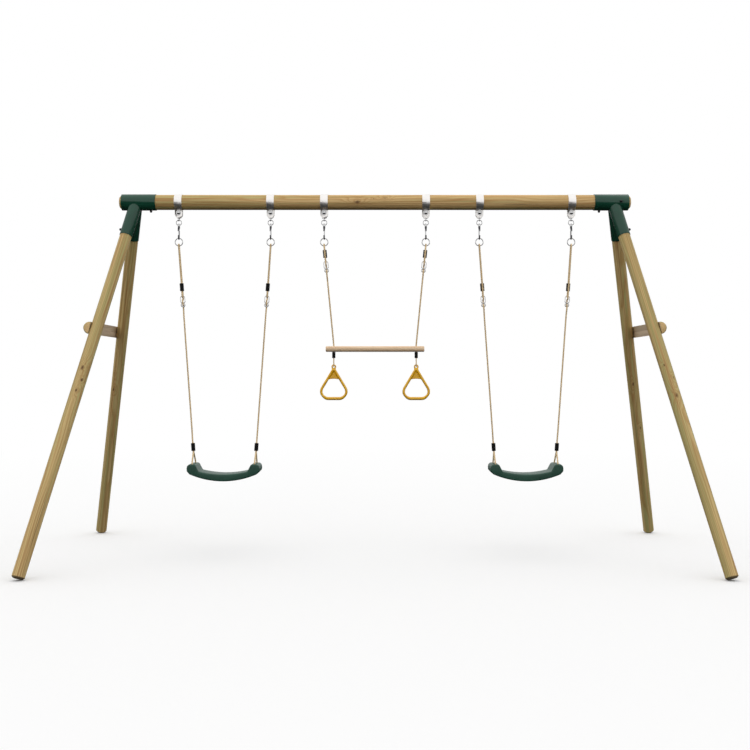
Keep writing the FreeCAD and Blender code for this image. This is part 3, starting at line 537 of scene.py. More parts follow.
def timber_material(name, start, axis, seed, pith=(0.02, 0.012), tones=None, knots=(), ring_rate=130.0,
                    sawn=None, foot_shade=False):
    """Machine-rounded wood: growth rings cut lengthwise, knots, fine fibres, stain streaks, checks and painted
    shade at a leg's foot.

    A sawn flat side is given as its outward normal and its distance along that normal."""
    early, late, stain, line_colour, knot_colour = tones or PINE_TONES
    shader = Shader(name)
    grain = Grain(shader, start, axis, seed)
    swirl, core = knot_fields(grain, knots)
    late_wood = growth_rings(grain, pith, ring_rate, swirl)
    fibres = grain.noise(620.0, 9.0, 4.0, 0.4)
    bands = shader.ramp(grain.noise(38.0, 0.8, 2.0, 0.3), (0.40, 0.0), (0.60, 1.0))
    lines = shader.ramp(grain.noise(115.0, 1.3, 2.0, 0.3), (0.50, 0.0), (0.66, 1.0))
    speckle = shader.ramp(grain.noise(260.0, 60.0, 3.0, 0.8), (0.45, 0.0), (0.7, 1.0))
    checks = shader.ramp(grain.noise(95.0, 1.2, 2.0, 0.2), (0.0, 0.0), (0.72, 0.0), (0.73, 1.0))
    colour = shader.mix(bands, early, stain)
    colour = shader.mix(late_wood * 0.55, colour, late)
    colour = shader.mix(lines * 0.55, colour, line_colour)
    colour = shader.mix(shader.ramp(fibres, (0.3, 0.0), (0.75, 0.22)), colour, late)
    colour = shader.mix(shader.math("MULTIPLY", swirl * speckle, 0.75, clamp=True), colour, line_colour)
    colour = shader.mix(core * 0.85, colour, knot_colour)
    colour = shader.mix(checks * 0.6, colour, knot_colour)
    outward = shader.value("ShaderNodeNewGeometry", output="Normal")
    facing = shader.vector("DOT_PRODUCT", outward, tuple(grain.axis))
    end_grain = shader.ramp(shader.math("ABSOLUTE", facing), (0.75, 0.0), (0.9, 0.7))
    colour = shader.mix(end_grain, colour, END_GRAIN)
    # Painted shade: the down-facing chamfer at a leg's foot is darkened towards a grey-brown
    if foot_shade:
        shade_start, shade_full = (grain.shift + height for height in FOOT_SHADE_HEIGHTS)
        near_ground = shader.value("ShaderNodeMapRange", {0: grain.z, 1: shade_start, 2: shade_full})
        colour = shader.mix(near_ground * 0.75, colour, FOOT_SHADE)
    if sawn:
        normal, distance = sawn
        height = shader.vector("DOT_PRODUCT", shader.place(), tuple(normal))
        flat = shader.math("GREATER_THAN", height, distance - 0.8 * MM)
        colour = shader.mix(flat * 0.85, colour, shader.mix(grain.noise(4.0, 190.0), *SAWN_TONES))
    fine = shader.bump(fibres, 0.35, 0.6 * MM)
    ridges = shader.bump(late_wood, 0.25, 0.6 * MM, fine)
    cracked = shader.bump(1.0 - checks, 0.8, 1.5 * MM, ridges)
    roughness = shader.ramp(fibres, (0.2, 0.52), (0.8, 0.74))
    return shader.finish(Base_Color=colour, Roughness=roughness, Normal=cracked, Specular_IOR_Level=0.3)


def palette(*colours):
    return tuple(linear(*colour) for colour in colours)


# Wood tones: early wood, late wood, stain bands, reddish lines, knots
PINE_TONES = palette((226, 199, 138), (184, 136, 78), (190, 187, 124), (162, 108, 58), (92, 58, 32))
BEAM_TONES = palette((240, 206, 144), (196, 142, 80), (206, 192, 128), (172, 112, 60), (96, 60, 34))
BEECH_TONES = palette((255, 228, 192), (242, 204, 164), (252, 220, 182), (234, 192, 152), (200, 156, 116))
SAWN_TONES = palette((226, 200, 172), (206, 184, 158))
# Colour of the painted shade at each leg's foot
FOOT_SHADE = linear(92, 84, 72)
END_GRAIN = linear(246, 206, 148)


def speckled(shader, scale, low, high):
    return shader.ramp(shader.spots(scale, 4.0), (0.3, low), (0.7, high))


def powder_coat(name, colour, dark):
    """Powder-coated steel: orange-peel skin, faint patchiness and dust."""
    shader = Shader(name)
    base = shader.mix(shader.ramp(shader.spots(11.0, 5.0, 0.6), (0.35, 0.0), (0.7, 1.0)), dark, colour)
    dust = shader.ramp(shader.spots(420.0, 2.0), (0.64, 0.0), (0.8, 0.08))
    base = shader.mix(dust, base, linear(130, 150, 138))
    peel = shader.bump(shader.spots(650.0, 2.0), 0.12, 0.4 * MM)
    return shader.finish(Base_Color=base, Roughness=speckled(shader, 60.0, 0.2, 0.26), Normal=peel)


def plated_steel(name, bright, dull, roughness, grain_scale):
    """Zinc-plated or galvanised steel: crystal spangle, fine scratches and uneven shine."""
    shader = Shader(name)
    spangle = shader.value("ShaderNodeTexVoronoi", {"Vector": shader.place(), "Scale": grain_scale}, "Color")
    tone = shader.vector("DOT_PRODUCT", spangle, (1, 0, 0))
    haze = shader.spots(45.0, 5.0, 0.8)
    base = shader.mix(tone * 0.45 + haze * 0.4, bright, dull)
    scratches = shader.bump(shader.flow(90.0, 1600.0, 2.0), 0.08, 0.3 * MM)
    return shader.finish(Base_Color=base, Metallic=1.0, Roughness=haze * 0.14 + roughness, Normal=scratches)


def rope_material(name):
    """Laid hemp-look rope: fine yarns wound round each strand, painted shade in the grooves between the yarns,
    loose fibres and uneven tone.
    """
    shader = Shader(name)
    uv = shader.value("ShaderNodeTexCoord", output="UV")
    turns = shader.vector("DOT_PRODUCT", uv, (1.0, 0.0, 0.0))
    length = shader.vector("DOT_PRODUCT", uv, (0.0, 1.0, 0.0))
    wound = turns * 7.0 + length * 230.0
    yarn_relief_and_shade = shader.math("ABSOLUTE", shader.math("SINE", wound * math.pi))
    fuzz = shader.noise(shader.combine(wound * 3.0, length * 90.0, turns), 2.0, 5.0, 0.6)
    # Painted shade: the grooves between the yarns are given a darker colour
    base = shader.mix(shader.ramp(yarn_relief_and_shade, (0.0, 0.0), (0.5, 1.0)), linear(214, 178, 128), linear(254, 226, 176))
    base = shader.mix(shader.ramp(fuzz, (0.45, 0.0), (0.75, 0.55)), base, linear(255, 238, 204))
    base = shader.mix(shader.ramp(shader.spots(24.0), (0.4, 0.0), (0.75, 0.4)), base, linear(232, 194, 140))
    relief = shader.bump(fuzz, 0.5, 0.4 * MM, shader.bump(yarn_relief_and_shade, 0.7, 0.6 * MM))
    return shader.finish(Base_Color=base, Roughness=0.85, Normal=relief, Specular_IOR_Level=0.2,
                         Sheen_Weight=0.25)


def moulded_plastic(name, colour, dark, low_rough, high_rough, grain, coat=0.0, shine=0.5):
    """Moulded plastic: fine mould grain, flow marks and scuffs."""
    shader = Shader(name)
    marks = shader.ramp(shader.flow(6.0, 16.0, 4.0, 1.2), (0.35, 0.0), (0.7, 1.0))
    scuffs = shader.ramp(shader.flow(60.0, 300.0), (0.66, 0.0), (0.74, 0.12))
    base = shader.mix(scuffs * (2 * shine), shader.mix(marks, dark, colour), linear(190, 200, 190))
    grain_bump = shader.bump(shader.spots(grain, 2.0), 0.12, 0.3 * MM)
    return shader.finish(Base_Color=base, Roughness=speckled(shader, 90.0, low_rough, high_rough),
                         Normal=grain_bump, Coat_Weight=coat, Coat_Roughness=0.15, Specular_IOR_Level=shine)


GREEN_COAT = powder_coat("green_powder_coat", *palette((22, 80, 60), (18, 72, 53)))
BLACK_COAT = powder_coat("black_screw_coat", *palette((24, 24, 25), (14, 14, 15)))
STRAP_STEEL = plated_steel("galvanised_strap", *palette((255, 252, 249), (246, 243, 240)), 0.33, 240.0)
ZINC_STEEL = plated_steel("zinc_plated_steel", *palette((226, 226, 226), (190, 190, 192)), 0.12, 900.0)
HOOK_STEEL = plated_steel("hook_steel", *palette((92, 92, 94), (60, 60, 62)), 0.22, 900.0)
HEMP = rope_material("hemp_rope")
BLACK_PLASTIC = moulded_plastic("black_plastic", *palette((9, 9, 10), (5, 5, 6)), 0.5, 0.66, 900.0, shine=0.2)
GREEN_PLASTIC = moulded_plastic("green_plastic", *palette((38, 84, 68), (28, 72, 57)), 0.4, 0.54, 1500.0)
YELLOW_PLASTIC = moulded_plastic("yellow_plastic", *palette((255, 200, 28), (250, 186, 14)), 0.26, 0.38, 1100.0,
                                 coat=0.5)


def paint_node(node, material):
    """Gives a CAD node that stays its material."""
    piece = frame["nodes"][node]
    piece.data.materials.clear()
    piece.data.materials.append(material)
    for polygon in piece.data.polygons:
        polygon.material_index = 0


# ---- Timbers --------------------------------------------------------------------------------------------

def timber_profile(length, radius, chamfer):
    """Radius and height along a round timber whose end edges are eased."""
    ease = 0.16 * chamfer
    end = [(0.0, 0.0), (radius - chamfer - ease, 0.0), (radius - chamfer, 0.08 * chamfer),
           (radius - ease, chamfer - ease * 0.6), (radius, chamfer + ease)]
    body = [(radius, height) for height in np.linspace(chamfer + ease, length - chamfer - ease, 90)[1:-1]]
    start = [(max(r, 0.001 * radius), h) for r, h in end]
    finish = [(r, length - h) for r, h in reversed(start)]
    return start + body + finish


def drying_checks(vertices, profile, segments, length, seed):
    """Presses a few long shallow cracks into the timber's surface."""
    random = np.random.default_rng(seed)
    heights = np.array([height for _, height in profile])
    points = np.array(vertices).reshape(len(profile), segments, 3)
    for _ in range(3):
        column = random.integers(segments)
        middle = random.uniform(0.15, 0.85) * length
        reach = random.uniform(0.06, 0.14) * length
        depth = CHECK_DEPTH * np.clip(1 - ((heights - middle) / reach) ** 2, 0, 1)
        centre = points.mean(axis=1)
        inward = centre - points[:, column]
        inward /= np.maximum(np.linalg.norm(inward, axis=1), 1e-9)[:, None]
        points[:, column] += inward * depth[:, None]
    return points.reshape(-1, 3)


def timber(name, start, end, radius, chamfer, seed, segments=120):
    """A machine-rounded pole with eased ends, a very slight unevenness and a few drying checks."""
    start = Vector(start)
    end = Vector(end)
    length = (end - start).length
    axis = (end - start) / length
    across, up = side_directions(axis)
    profile = timber_profile(length, radius, chamfer)
    random = np.random.default_rng(seed)
    phases = random.uniform(0, math.tau, 3)
    vertices = []
    for ring_radius, height in profile:
        for j in range(segments):
            angle = math.tau * j / segments
            wave = math.sin(2 * angle + phases[0] + 3 * height) + math.sin(3 * angle + phases[1] - 5 * height)
            uneven = UNEVENNESS * (wave - 2) * min(1, ring_radius / radius)
            direction = across * math.cos(angle) + up * math.sin(angle)
            vertices.append(start + axis * height + direction * (ring_radius + uneven))
    vertices = drying_checks(vertices, profile, segments, length, seed)
    faces = capped(ring_faces(len(profile), segments), len(profile), segments)
    return sharp_by_angle(mesh_object(name, vertices, faces), 24)


def knot_places(start, axis, radius, knots):
    """Surface points of knots given as (height, turn from the front, core radius)."""
    front = Vector((0, -1, 0))
    front = (front - axis * front.dot(axis)).normalized()
    places = []
    for height, turn, size in knots:
        places.append((start + axis * height + Quaternion(axis, turn) @ front * radius, size))
    return places


def round_along_x(node):
    """Both end centres and the radius of a round node that lies along X."""
    low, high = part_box(node)
    z = (high.z + low.z) / 2
    return Vector((low.x, 0, z)), Vector((high.x, 0, z)), (high.z - low.z) / 2


def build_beam():
    start, end, radius = round_along_x("top_beam")
    beam = timber("round_beam", start, end, radius, BEAM_CHAMFER, seed=11, segments=144)
    axis = Vector((1, 0, 0))
    knots = knot_places(start, axis, radius, BEAM_KNOTS)
    material = timber_material("beam_pine", start, axis, 1.9, pith=(0.022, -0.01), tones=BEAM_TONES,
                               knots=knots)
    finish_piece(beam, "frame", material, "treated_pine", "top_beam")


def build_legs():
    seed = 21
    for side in (LEFT, RIGHT):
        for face in (FRONT, BACK):
            name = f"{SIDE_NAMES[side]}_{FACE_NAMES[face]}"
            node = f"leg_{name}"
            foot = Vector(MOUNTS[f"foot_{name}"]["pos_m"])
            axis = Vector(MOUNTS[f"foot_{name}"]["axis"]).normalized()
            top_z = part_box(node)[1].z - foot.z
            top = foot - axis * ((top_z - foot.z) / -axis.z)
            pole = timber(f"pole_{name}", foot, top, LEG_R, LEG_CHAMFER, seed)
            knots = knot_places(foot, -axis, LEG_R, LEG_KNOTS[side, face])
            material = timber_material(f"leg_pine_{name}", foot, -axis, seed * 0.37,
                                       pith=(0.018 * side, 0.014 * face), knots=knots, foot_shade=True)
            finish_piece(pole, "frame", material, "treated_pine", node)
            seed += 1


def build_braces():
    """Half-round rails: the round side is machined, the flat side is sawn."""
    for side in (LEFT, RIGHT):
        node = f"brace_{SIDE_NAMES[side]}"
        low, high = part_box(node)
        centre = (low + high) / 2
        flat_normal = Vector((-side * math.cos(LEG_LEAN), 0, -math.sin(LEG_LEAN)))
        flat_at = max(vertex.co.dot(flat_normal) for vertex in frame["nodes"][node].data.vertices)
        rail = refined(f"half_round_rail_{SIDE_NAMES[side]}", node, 1.2 * MM)
        material = timber_material(f"{node}_pine", centre, (0, 1, 0), 5.1 * side, pith=(0.03, 0.02),
                                   sawn=(flat_normal, flat_at))
        finish_piece(rail, "frame", material, "treated_pine", node)


def build_bar():
    start, end, radius = round_along_x("trapeze_bar")
    bar = timber("turned_bar", start, end, radius, BAR_CHAMFER, seed=5, segments=72)
    mouth_z = radius + 3 * MM
    mouth_r = BAR_HOLE_R + 3.1 * MM
    half = [(BAR_HOLE_R, mouth_z - 5 * MM), (mouth_r, mouth_z)]
    profile = [(r, -z) for r, z in reversed(half)] + half
    holes = []
    for side in (LEFT, RIGHT):
        low, high = corner_boxes("trapeze_sleeves", side)[1]
        holes.append(lathe("hole", ((low[0] + high[0]) / 2, 0, start.z), (0, 0, 1), profile, 32))
    cut(bar, *holes)
    sharp_by_angle(bar, 24)
    material = timber_material("bar_beech", start, (1, 0, 0), 0.4, pith=(0.05, 0.03), tones=BEECH_TONES,
                               ring_rate=90.0)
    finish_piece(bar, "trapeze", material, "turned_beech", "trapeze_bar")


# ---- Ropes ----------------------------------------------------------------------------------------------

def laid_rope(name, path, radius, pitch):
    """Three strands wound round each other along a path, with UVs that run round and along each strand."""
    _, normals, binormals = transported_frames(path)
    lengths = np.concatenate([[0], np.cumsum(np.linalg.norm(np.diff(path, axis=0), axis=1))])
    strand_radius = STRAND_SHARE * radius
    offset = radius - strand_radius
    segments = 10
    vertices = []
    faces = []
    uvs = []
    rings = len(path)
    for strand in range(3):
        turn = math.tau * (lengths / pitch + strand / 3)
        centres = path + (normals * np.cos(turn)[:, None] + binormals * np.sin(turn)[:, None]) * offset
        base = len(vertices)
        for i in range(rings):
            for j in range(segments):
                angle = math.tau * j / segments + turn[i]
                direction = normals[i] * math.cos(angle) + binormals[i] * math.sin(angle)
                vertices.append(centres[i] + direction * strand_radius)
        strand_faces = capped(ring_faces(rings, segments), rings, segments)
        faces += [tuple(base + v for v in face) for face in strand_faces]
        for low, high in zip(lengths, lengths[1:]):
            for j in range(segments):
                left, right = j / segments, (j + 1) / segments
                uvs += [(left, low), (right, low), (right, high), (left, high)]
        for end in (lengths[0], lengths[-1]):
            uvs += [(j / segments, end) for j in range(segments)]
    piece = mesh_object(name, vertices, faces)
    layer = piece.data.uv_layers.new(name="UVMap")
    layer.data.foreach_set("uv", np.array(uvs, dtype=np.float32).ravel())
    return piece


class Hanger:
    """A rope line from the bottom of a hanging ring to a lower point, leaning towards the middle."""

    def __init__(self, ring_x, ring_low, foot_x, foot_z):
        self.ring_x = ring_x
        self.ring_z = ring_low + RING_BAR_R
        self.slope = (ring_x - foot_x) / (self.ring_z - foot_z)

    def point(self, z, y=0.0):
        return Vector((self.ring_x - self.slope * (self.ring_z - z), y, z))

    def up(self):
        return Vector((self.slope, 0, 1)).normalized()


def corner_boxes(node, side):
    """Lowest and highest corners of the upper and the lower piece on one side of a node."""
    low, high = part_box(node)
    middle = (low + high) / 2
    points = np.array([vertex.co for vertex in frame["nodes"][node].data.vertices])
    points = points[(points[:, 0] - middle.x) * side > 0]
    parts = (points[points[:, 2] > middle.z], points[points[:, 2] <= middle.z])
    return [(part.min(axis=0), part.max(axis=0)) for part in parts]


def upper_stations(sleeve, adjuster, ring_z):
    """Rope stations (height, depth, bend): round the adjuster, over the ring and through both eyes."""
    sleeve_bottom, sleeve_top = sleeve
    adjuster_bottom, adjuster_top = adjuster
    loop_z = adjuster_top - ADJUSTER_BAR - ROPE_R - 1.2 * MM
    cross_z = loop_z - 2 * ROPE_R - 4 * MM
    small_eye_z = adjuster_bottom + SMALL_EYE_RIM_R
    arch = RING_BAR_R + ROPE_R + 0.6 * MM
    lead = ROPE_LEAD
    return [
        (sleeve_top + lead / 2, STRAND_Y, SOFT_BEND),
        (sleeve_bottom - lead, STRAND_Y, SOFT_BEND),
        (adjuster_top + lead, WEAVE_Y, SOFT_BEND),
        (loop_z, WEAVE_Y, ROPE_BEND),
        (loop_z, -WEAVE_Y, ROPE_BEND),
        (adjuster_top + lead, -WEAVE_Y, SOFT_BEND),
        (sleeve_bottom - lead, -STRAND_Y, SOFT_BEND),
        (sleeve_top + lead, -STRAND_Y, SOFT_BEND),
        (ring_z - lead, -arch, SOFT_BEND),
        (ring_z + arch, -arch, arch - 0.3 * MM),
        (ring_z + arch, arch, arch - 0.3 * MM),
        (ring_z - lead, arch, SOFT_BEND),
        (sleeve_top + lead, OUTER_STRAND_Y, SOFT_BEND),
        (cross_z, OUTER_STRAND_Y, ROPE_BEND),
        (cross_z, -WEAVE_Y, ROPE_BEND),
        (small_eye_z, -WEAVE_Y, ROPE_BEND),
        (small_eye_z, WEAVE_Y, ROPE_BEND),
        (adjuster_bottom - lead, WEAVE_Y, SOFT_BEND),
        (adjuster_bottom - lead - 40 * MM, 0.0, 2 * SOFT_BEND),
    ]


def swing_lower_end(body, side, hook_x, ring_low, sleeve):
    """Down to the lower sleeve, under the seat and back: the line, its stations and places, the sleeve."""
    low, high = sleeve
    middle = Vector((low + high) / 2)
    bottom, top = low[2], high[2]
    line = Hanger(hook_x, ring_low, middle.x, middle.z)
    down = [(top + 70 * MM, 0.0, 4 * SOFT_BEND), (top + ROPE_LEAD, -STRAND_Y, 4 * SOFT_BEND),
            (bottom - ROPE_LEAD, -STRAND_Y, SOFT_BEND)]
    seat = [(ABOVE_SEAT_Z, -SEAT_HOLE_Y, HOLE_BEND), (UNDER_SEAT_ROPE_Z, -SEAT_HOLE_Y, HOLE_BEND),
            (UNDER_SEAT_ROPE_Z, SEAT_HOLE_Y, HOLE_BEND), (ABOVE_SEAT_Z, SEAT_HOLE_Y, HOLE_BEND)]
    up = [(bottom - ROPE_LEAD, STRAND_Y, SOFT_BEND), (top + 3 * MM, STRAND_Y, SOFT_BEND)]
    hole_x = seat_centre(body) + side * SEAT_HOLE_X
    places = [line.point(z, y) for z, y, _ in down] + [Vector((hole_x, y, z)) for z, y, _ in seat]
    places += [line.point(z, y) for z, y, _ in up]
    lower_sleeve = crimp_sleeve(line.point(middle.z), line.up(), SLEEVE_R, SLEEVE_LENGTH)
    return line, down + seat + up, places, lower_sleeve


def trapeze_lower_end(body, side, hook_x, ring_low, sleeve):
    """Through the bar into the sleeve below it, with the same four results."""
    low, high = sleeve
    middle = Vector((low + high) / 2)
    bar_low, bar_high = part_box(f"{body}_bar")
    line = Hanger(hook_x, ring_low, middle.x, bar_high.z)
    stations = [(bar_high.z + ROPE_LEAD, 0.0, 2 * SOFT_BEND), (bar_low.z - 20 * MM, 0.0, SOFT_BEND)]
    places = [Vector((middle.x, y, z)) for z, y, _ in stations]
    lower_sleeve = crimp_sleeve(Vector((middle.x, 0, middle.z)), (0, 0, 1), BAR_SLEEVE_R, high[2] - low[2])
    return line, stations, places, lower_sleeve


def crimp_sleeve(middle, up, radius, length):
    """A ribbed plastic sleeve with rounded ends."""
    half = length / 2
    profile = [(0.3 * radius, -half), (0.8 * radius, -half), (0.94 * radius, -half + 0.8 * MM),
               (radius, -half + 2.5 * MM)]
    ribs = 5
    rib = (length - 10 * MM) / ribs
    for k in range(ribs):
        base = -half + 5 * MM + k * rib
        profile += [(radius, base), (0.93 * radius, base + 0.25 * rib), (0.93 * radius, base + 0.4 * rib),
                    (radius, base + 0.65 * rib)]
    profile += [(r, -h) for r, h in reversed(profile[:4])]
    return lathe("sleeve", middle, up, profile, 40, 60)


def figure_eight(line, bottom, top):
    """A cast adjuster with a long eye above a thicker round one."""
    up = line.up()
    across = Vector((up.z, 0, -up.x))
    middle = line.point((top + bottom) / 2)
    half = (top - bottom) / 2

    def spot(x, z):
        return middle + across * x + up * z

    centre_r = LONG_EYE_RIM_R - ADJUSTER_BAR / 2
    eye_top = half - ADJUSTER_BAR / 2
    eye_low = eye_top - ADJUSTER_BAR - LONG_EYE_LENGTH
    oval = [spot(centre_r, eye_top), spot(-centre_r, eye_top),
            spot(-centre_r, eye_low), spot(centre_r, eye_low)]
    path = rounded_points(oval, [centre_r - 0.5 * MM] * 4, 1.5 * MM, closed=True)
    big = flat_ring("eye", path, ADJUSTER_BAR / 2, 2 * MM, 2.6, 16)
    small_r = (SMALL_EYE_R + SMALL_EYE_RIM_R) / 2
    low = SMALL_EYE_RIM_R - half
    circle = np.array([tuple(spot(small_r * math.cos(a), low + small_r * math.sin(a)))
                       for a in np.linspace(0, math.tau, 48, endpoint=False)])
    small = flat_ring("eye", circle, (SMALL_EYE_RIM_R - SMALL_EYE_R) / 2, 2 * MM, 3.2, 16)
    return joined("adjuster", [big, small])


def build_ropes(body, weave, lower_end):
    """Ropes, sleeves and adjusters of a swing or the trapeze.

    The outer strand runs behind its sleeve (weave is BACK) or in front of it (FRONT)."""
    ring_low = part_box(f"{body}_hanging_rings")[0].z
    adjuster = [corner.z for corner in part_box(f"{body}_adjusters")]
    sleeves = []
    adjusters = []
    for side in (LEFT, RIGHT):
        name = f"{body}_rope_{SIDE_NAMES[side]}"
        hook_low, hook_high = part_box(f"{body}_hook_{SIDE_NAMES[side]}")
        upper, lower = corner_boxes(f"{body}_sleeves", side)
        line, lower_stations, lower_places, lower_sleeve = lower_end(
            body, side, (hook_low.x + hook_high.x) / 2, ring_low, lower)
        sleeve_z = [corner[2] for corner in upper]
        stations = upper_stations(sleeve_z, adjuster, line.ring_z)
        places = [line.point(z, y) for z, y, _ in stations] + lower_places
        places = [Vector((place.x, weave * place.y, place.z)) for place in places]
        bends = [bend for _, _, bend in (stations + lower_stations)[1:-1]]
        rope = laid_rope(f"{name}_laid", rounded_points(places, bends, ROPE_STEP), ROPE_R, ROPE_PITCH)
        finish_piece(rope, body, HEMP, "hemp_rope", name)
        sleeve_middle = line.point(sum(sleeve_z) / 2)
        sleeves += [crimp_sleeve(sleeve_middle, line.up(), SLEEVE_R, SLEEVE_LENGTH), lower_sleeve]
        adjusters.append(figure_eight(line, *adjuster))
    crimped = joined(f"{body}_crimp_sleeves", sleeves)
    finish_piece(crimped, body, BLACK_PLASTIC, "black_plastic", f"{body}_sleeves")
    cast = joined(f"{body}_figure_eights", adjusters)
    finish_piece(cast, body, ZINC_STEEL, "zinc_steel", f"{body}_adjusters")


def joint_place(name):
    return next(Vector(joint["pos_m"]) for joint in frame["joints"] if joint["name"] == name)


def build_ring_loops():
    """The short loop below each bar sleeve; its path spreads out below the sleeve's pivot."""
    for side in SIDE_NAMES.values():
        name = f"ring_loop_{side}"
        pivot = joint_place(f"{name}_sway")
        bottom = joint_place(f"hand_ring_{side}_sway").z
        half = [(LOOP_HALF_NECK, pivot.z + 22 * MM), (LOOP_HALF_NECK, pivot.z),
                (LOOP_HALF_WIDTH, bottom + 20 * MM), (LOOP_HALF_WIDTH, bottom)]
        points = [Vector((pivot.x, -y, z)) for y, z in half]
        points += [Vector((pivot.x, y, z)) for y, z in reversed(half)]
        bends = [SOFT_BEND, SOFT_BEND, LOOP_HALF_NECK, LOOP_HALF_NECK, SOFT_BEND, SOFT_BEND]
        piece = laid_rope(f"{name}_laid", rounded_points(points, bends, LOOP_STEP), LOOP_ROPE_R, LOOP_PITCH)
        piece.data.materials.append(HEMP)
        reach = Vector((0, 0, 9 * MM))
        tuple(pivot + reach)
        tuple(pivot - reach)
        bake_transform(piece)
        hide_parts(name)


# ---- Seats ----------------------------------------------------------------------------------------------

def arc_points(first, middle, last, count):
    """Points on the circle through three points of the XZ plane."""
    ax, az = first
    bx, bz = middle
    cx, cz = last
    d = 2 * (ax * (bz - cz) + bx * (cz - az) + cx * (az - bz))
    ux = ((ax**2 + az**2) * (bz - cz) + (bx**2 + bz**2) * (cz - az) + (cx**2 + cz**2) * (az - bz)) / d
    uz = ((ax**2 + az**2) * (cx - bx) + (bx**2 + bz**2) * (ax - cx) + (cx**2 + cz**2) * (bx - ax)) / d
    radius = math.hypot(ax - ux, az - uz)
    start = math.atan2(az - uz, ax - ux)
    stop = math.atan2(cz - uz, cx - ux)
    return [(ux + radius * math.cos(a), uz + radius * math.sin(a)) for a in np.linspace(start, stop, count)]


def half_seat_curves(count):
    """Top and bottom outline of the right half of the seat, from its middle to its tip, as equal counts."""
    dish = arc_points(*SEAT_DISH, 14)
    under = arc_points(*SEAT_UNDERSIDE, 12)
    top_bends = [20] * (len(dish) - 2) + [10, 5, 5, 6, 6]
    bottom_bends = [20] * (len(under) - 2) + [9, 6]
    curves = []
    for points, bends in ((dish + SEAT_BLOCK, top_bends), (under + SEAT_TIP, bottom_bends)):
        corners = [Vector((x * MM, 0, z * MM)) for x, z in points]
        path = rounded_points(corners, [bend * MM for bend in bends], 1.0 * MM)[:, [0, 2]]
        spread = np.linspace(0, 1, len(path))
        stations = np.linspace(0, 1, count)
        curves.append(np.stack([np.interp(stations, spread, path[:, k]) for k in range(2)], axis=1))
    return curves


def seat_section(top, bottom, half_depth, corner_r, per_corner=7):
    """A rounded section between a top and a bottom point, spread along Y."""
    top = Vector((top[0], 0, top[1]))
    bottom = Vector((bottom[0], 0, bottom[1]))
    thick = (top - bottom).length
    up = (top - bottom) / thick
    radius = min(corner_r, thick * 0.5)
    middle = (top + bottom) / 2
    corners = [(1, 1, 0), (-1, 1, math.pi / 2), (-1, -1, math.pi), (1, -1, 1.5 * math.pi)]
    points = []
    for y_sign, up_sign, start in corners:
        for k in range(per_corner):
            angle = start + math.pi / 2 * k / (per_corner - 1)
            y = y_sign * (half_depth - radius) + radius * math.cos(angle)
            height = up_sign * (thick / 2 - radius) + radius * math.sin(angle)
            points.append(middle + Vector((0, y, 0)) + up * height)
    return points


def seat_body(name, centre_x):
    """The moulded seat, lofted from tip to tip."""
    count = SEAT_STATIONS
    top, bottom = half_seat_curves(count)
    sections = []
    for sign in (LEFT, RIGHT):
        order = range(count - 1, 0, -1) if sign == LEFT else range(count)
        for k in order:
            reach = (max(top[k][0], bottom[k][0]) - SEAT_TIP_FROM) / SEAT_TIP_REACH
            reach = min(1.0, max(0.0, reach))
            depth = SEAT_HALF_DEPTH - SEAT_TIP_SHRINK * (1 - math.sqrt(1 - reach**2))
            upper = (centre_x + sign * top[k][0], top[k][1] + 0.15 * MM)
            lower = (centre_x + sign * bottom[k][0], bottom[k][1])
            sections.append(seat_section(upper, lower, depth, SEAT_CORNER_R))
    segments = len(sections[0])
    vertices = [point for section in sections for point in section]
    faces = capped(ring_faces(len(sections), segments), len(sections), segments)
    return mesh_object(name, vertices, faces)


def seat_cutters(centre_x, seat_low):
    """Rope holes with eased mouths, and the groove that holds the rope under each seat end."""
    cutters = []
    for side in (LEFT, RIGHT):
        x = centre_x + side * SEAT_HOLE_X
        for y in (-SEAT_HOLE_Y, SEAT_HOLE_Y):
            profile = [(6.3 * MM, 0.0), (6.3 * MM, 92.5 * MM), (8.5 * MM, 98.5 * MM), (13 * MM, 102.5 * MM)]
            cutters.append(lathe("hole", (x, y, seat_low), (0, 0, 1), profile, 32))
        outline = []
        for y, start in ((-SEAT_HOLE_Y, math.pi), (SEAT_HOLE_Y, 0.0)):
            for k in range(13):
                angle = start + math.pi * k / 12
                outline.append((x + SEAT_GROOVE_HALF_WIDTH * math.cos(angle),
                                y + SEAT_GROOVE_HALF_WIDTH * math.sin(angle)))
        vertices = [(px, py, z) for z in (seat_low, SEAT_GROOVE_TOP) for px, py in outline]
        faces = capped(ring_faces(2, len(outline)), 2, len(outline))
        cutters.append(mesh_object("groove", vertices, faces))
    return cutters


def outward_normals(piece):
    """The piece with every face turned outward."""
    shape = bmesh.new()
    shape.from_mesh(piece.data)
    bmesh.ops.recalc_face_normals(shape, faces=shape.faces)
    shape.to_mesh(piece.data)
    shape.free()
    return piece


def seat_centre(body):
    low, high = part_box(f"{body}_seat")
    return (low.x + high.x) / 2


def build_seat(body):
    centre = seat_centre(body)
    seat = seat_body(f"{body}_moulded_seat", centre)
    cut(seat, *seat_cutters(centre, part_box(f"{body}_seat")[0].z))
    sharp_by_angle(seat, 40)
    finish_piece(seat, body, GREEN_PLASTIC, "green_plastic", f"{body}_seat")


# ---- Hand rings -----------------------------------------------------------------------------------------

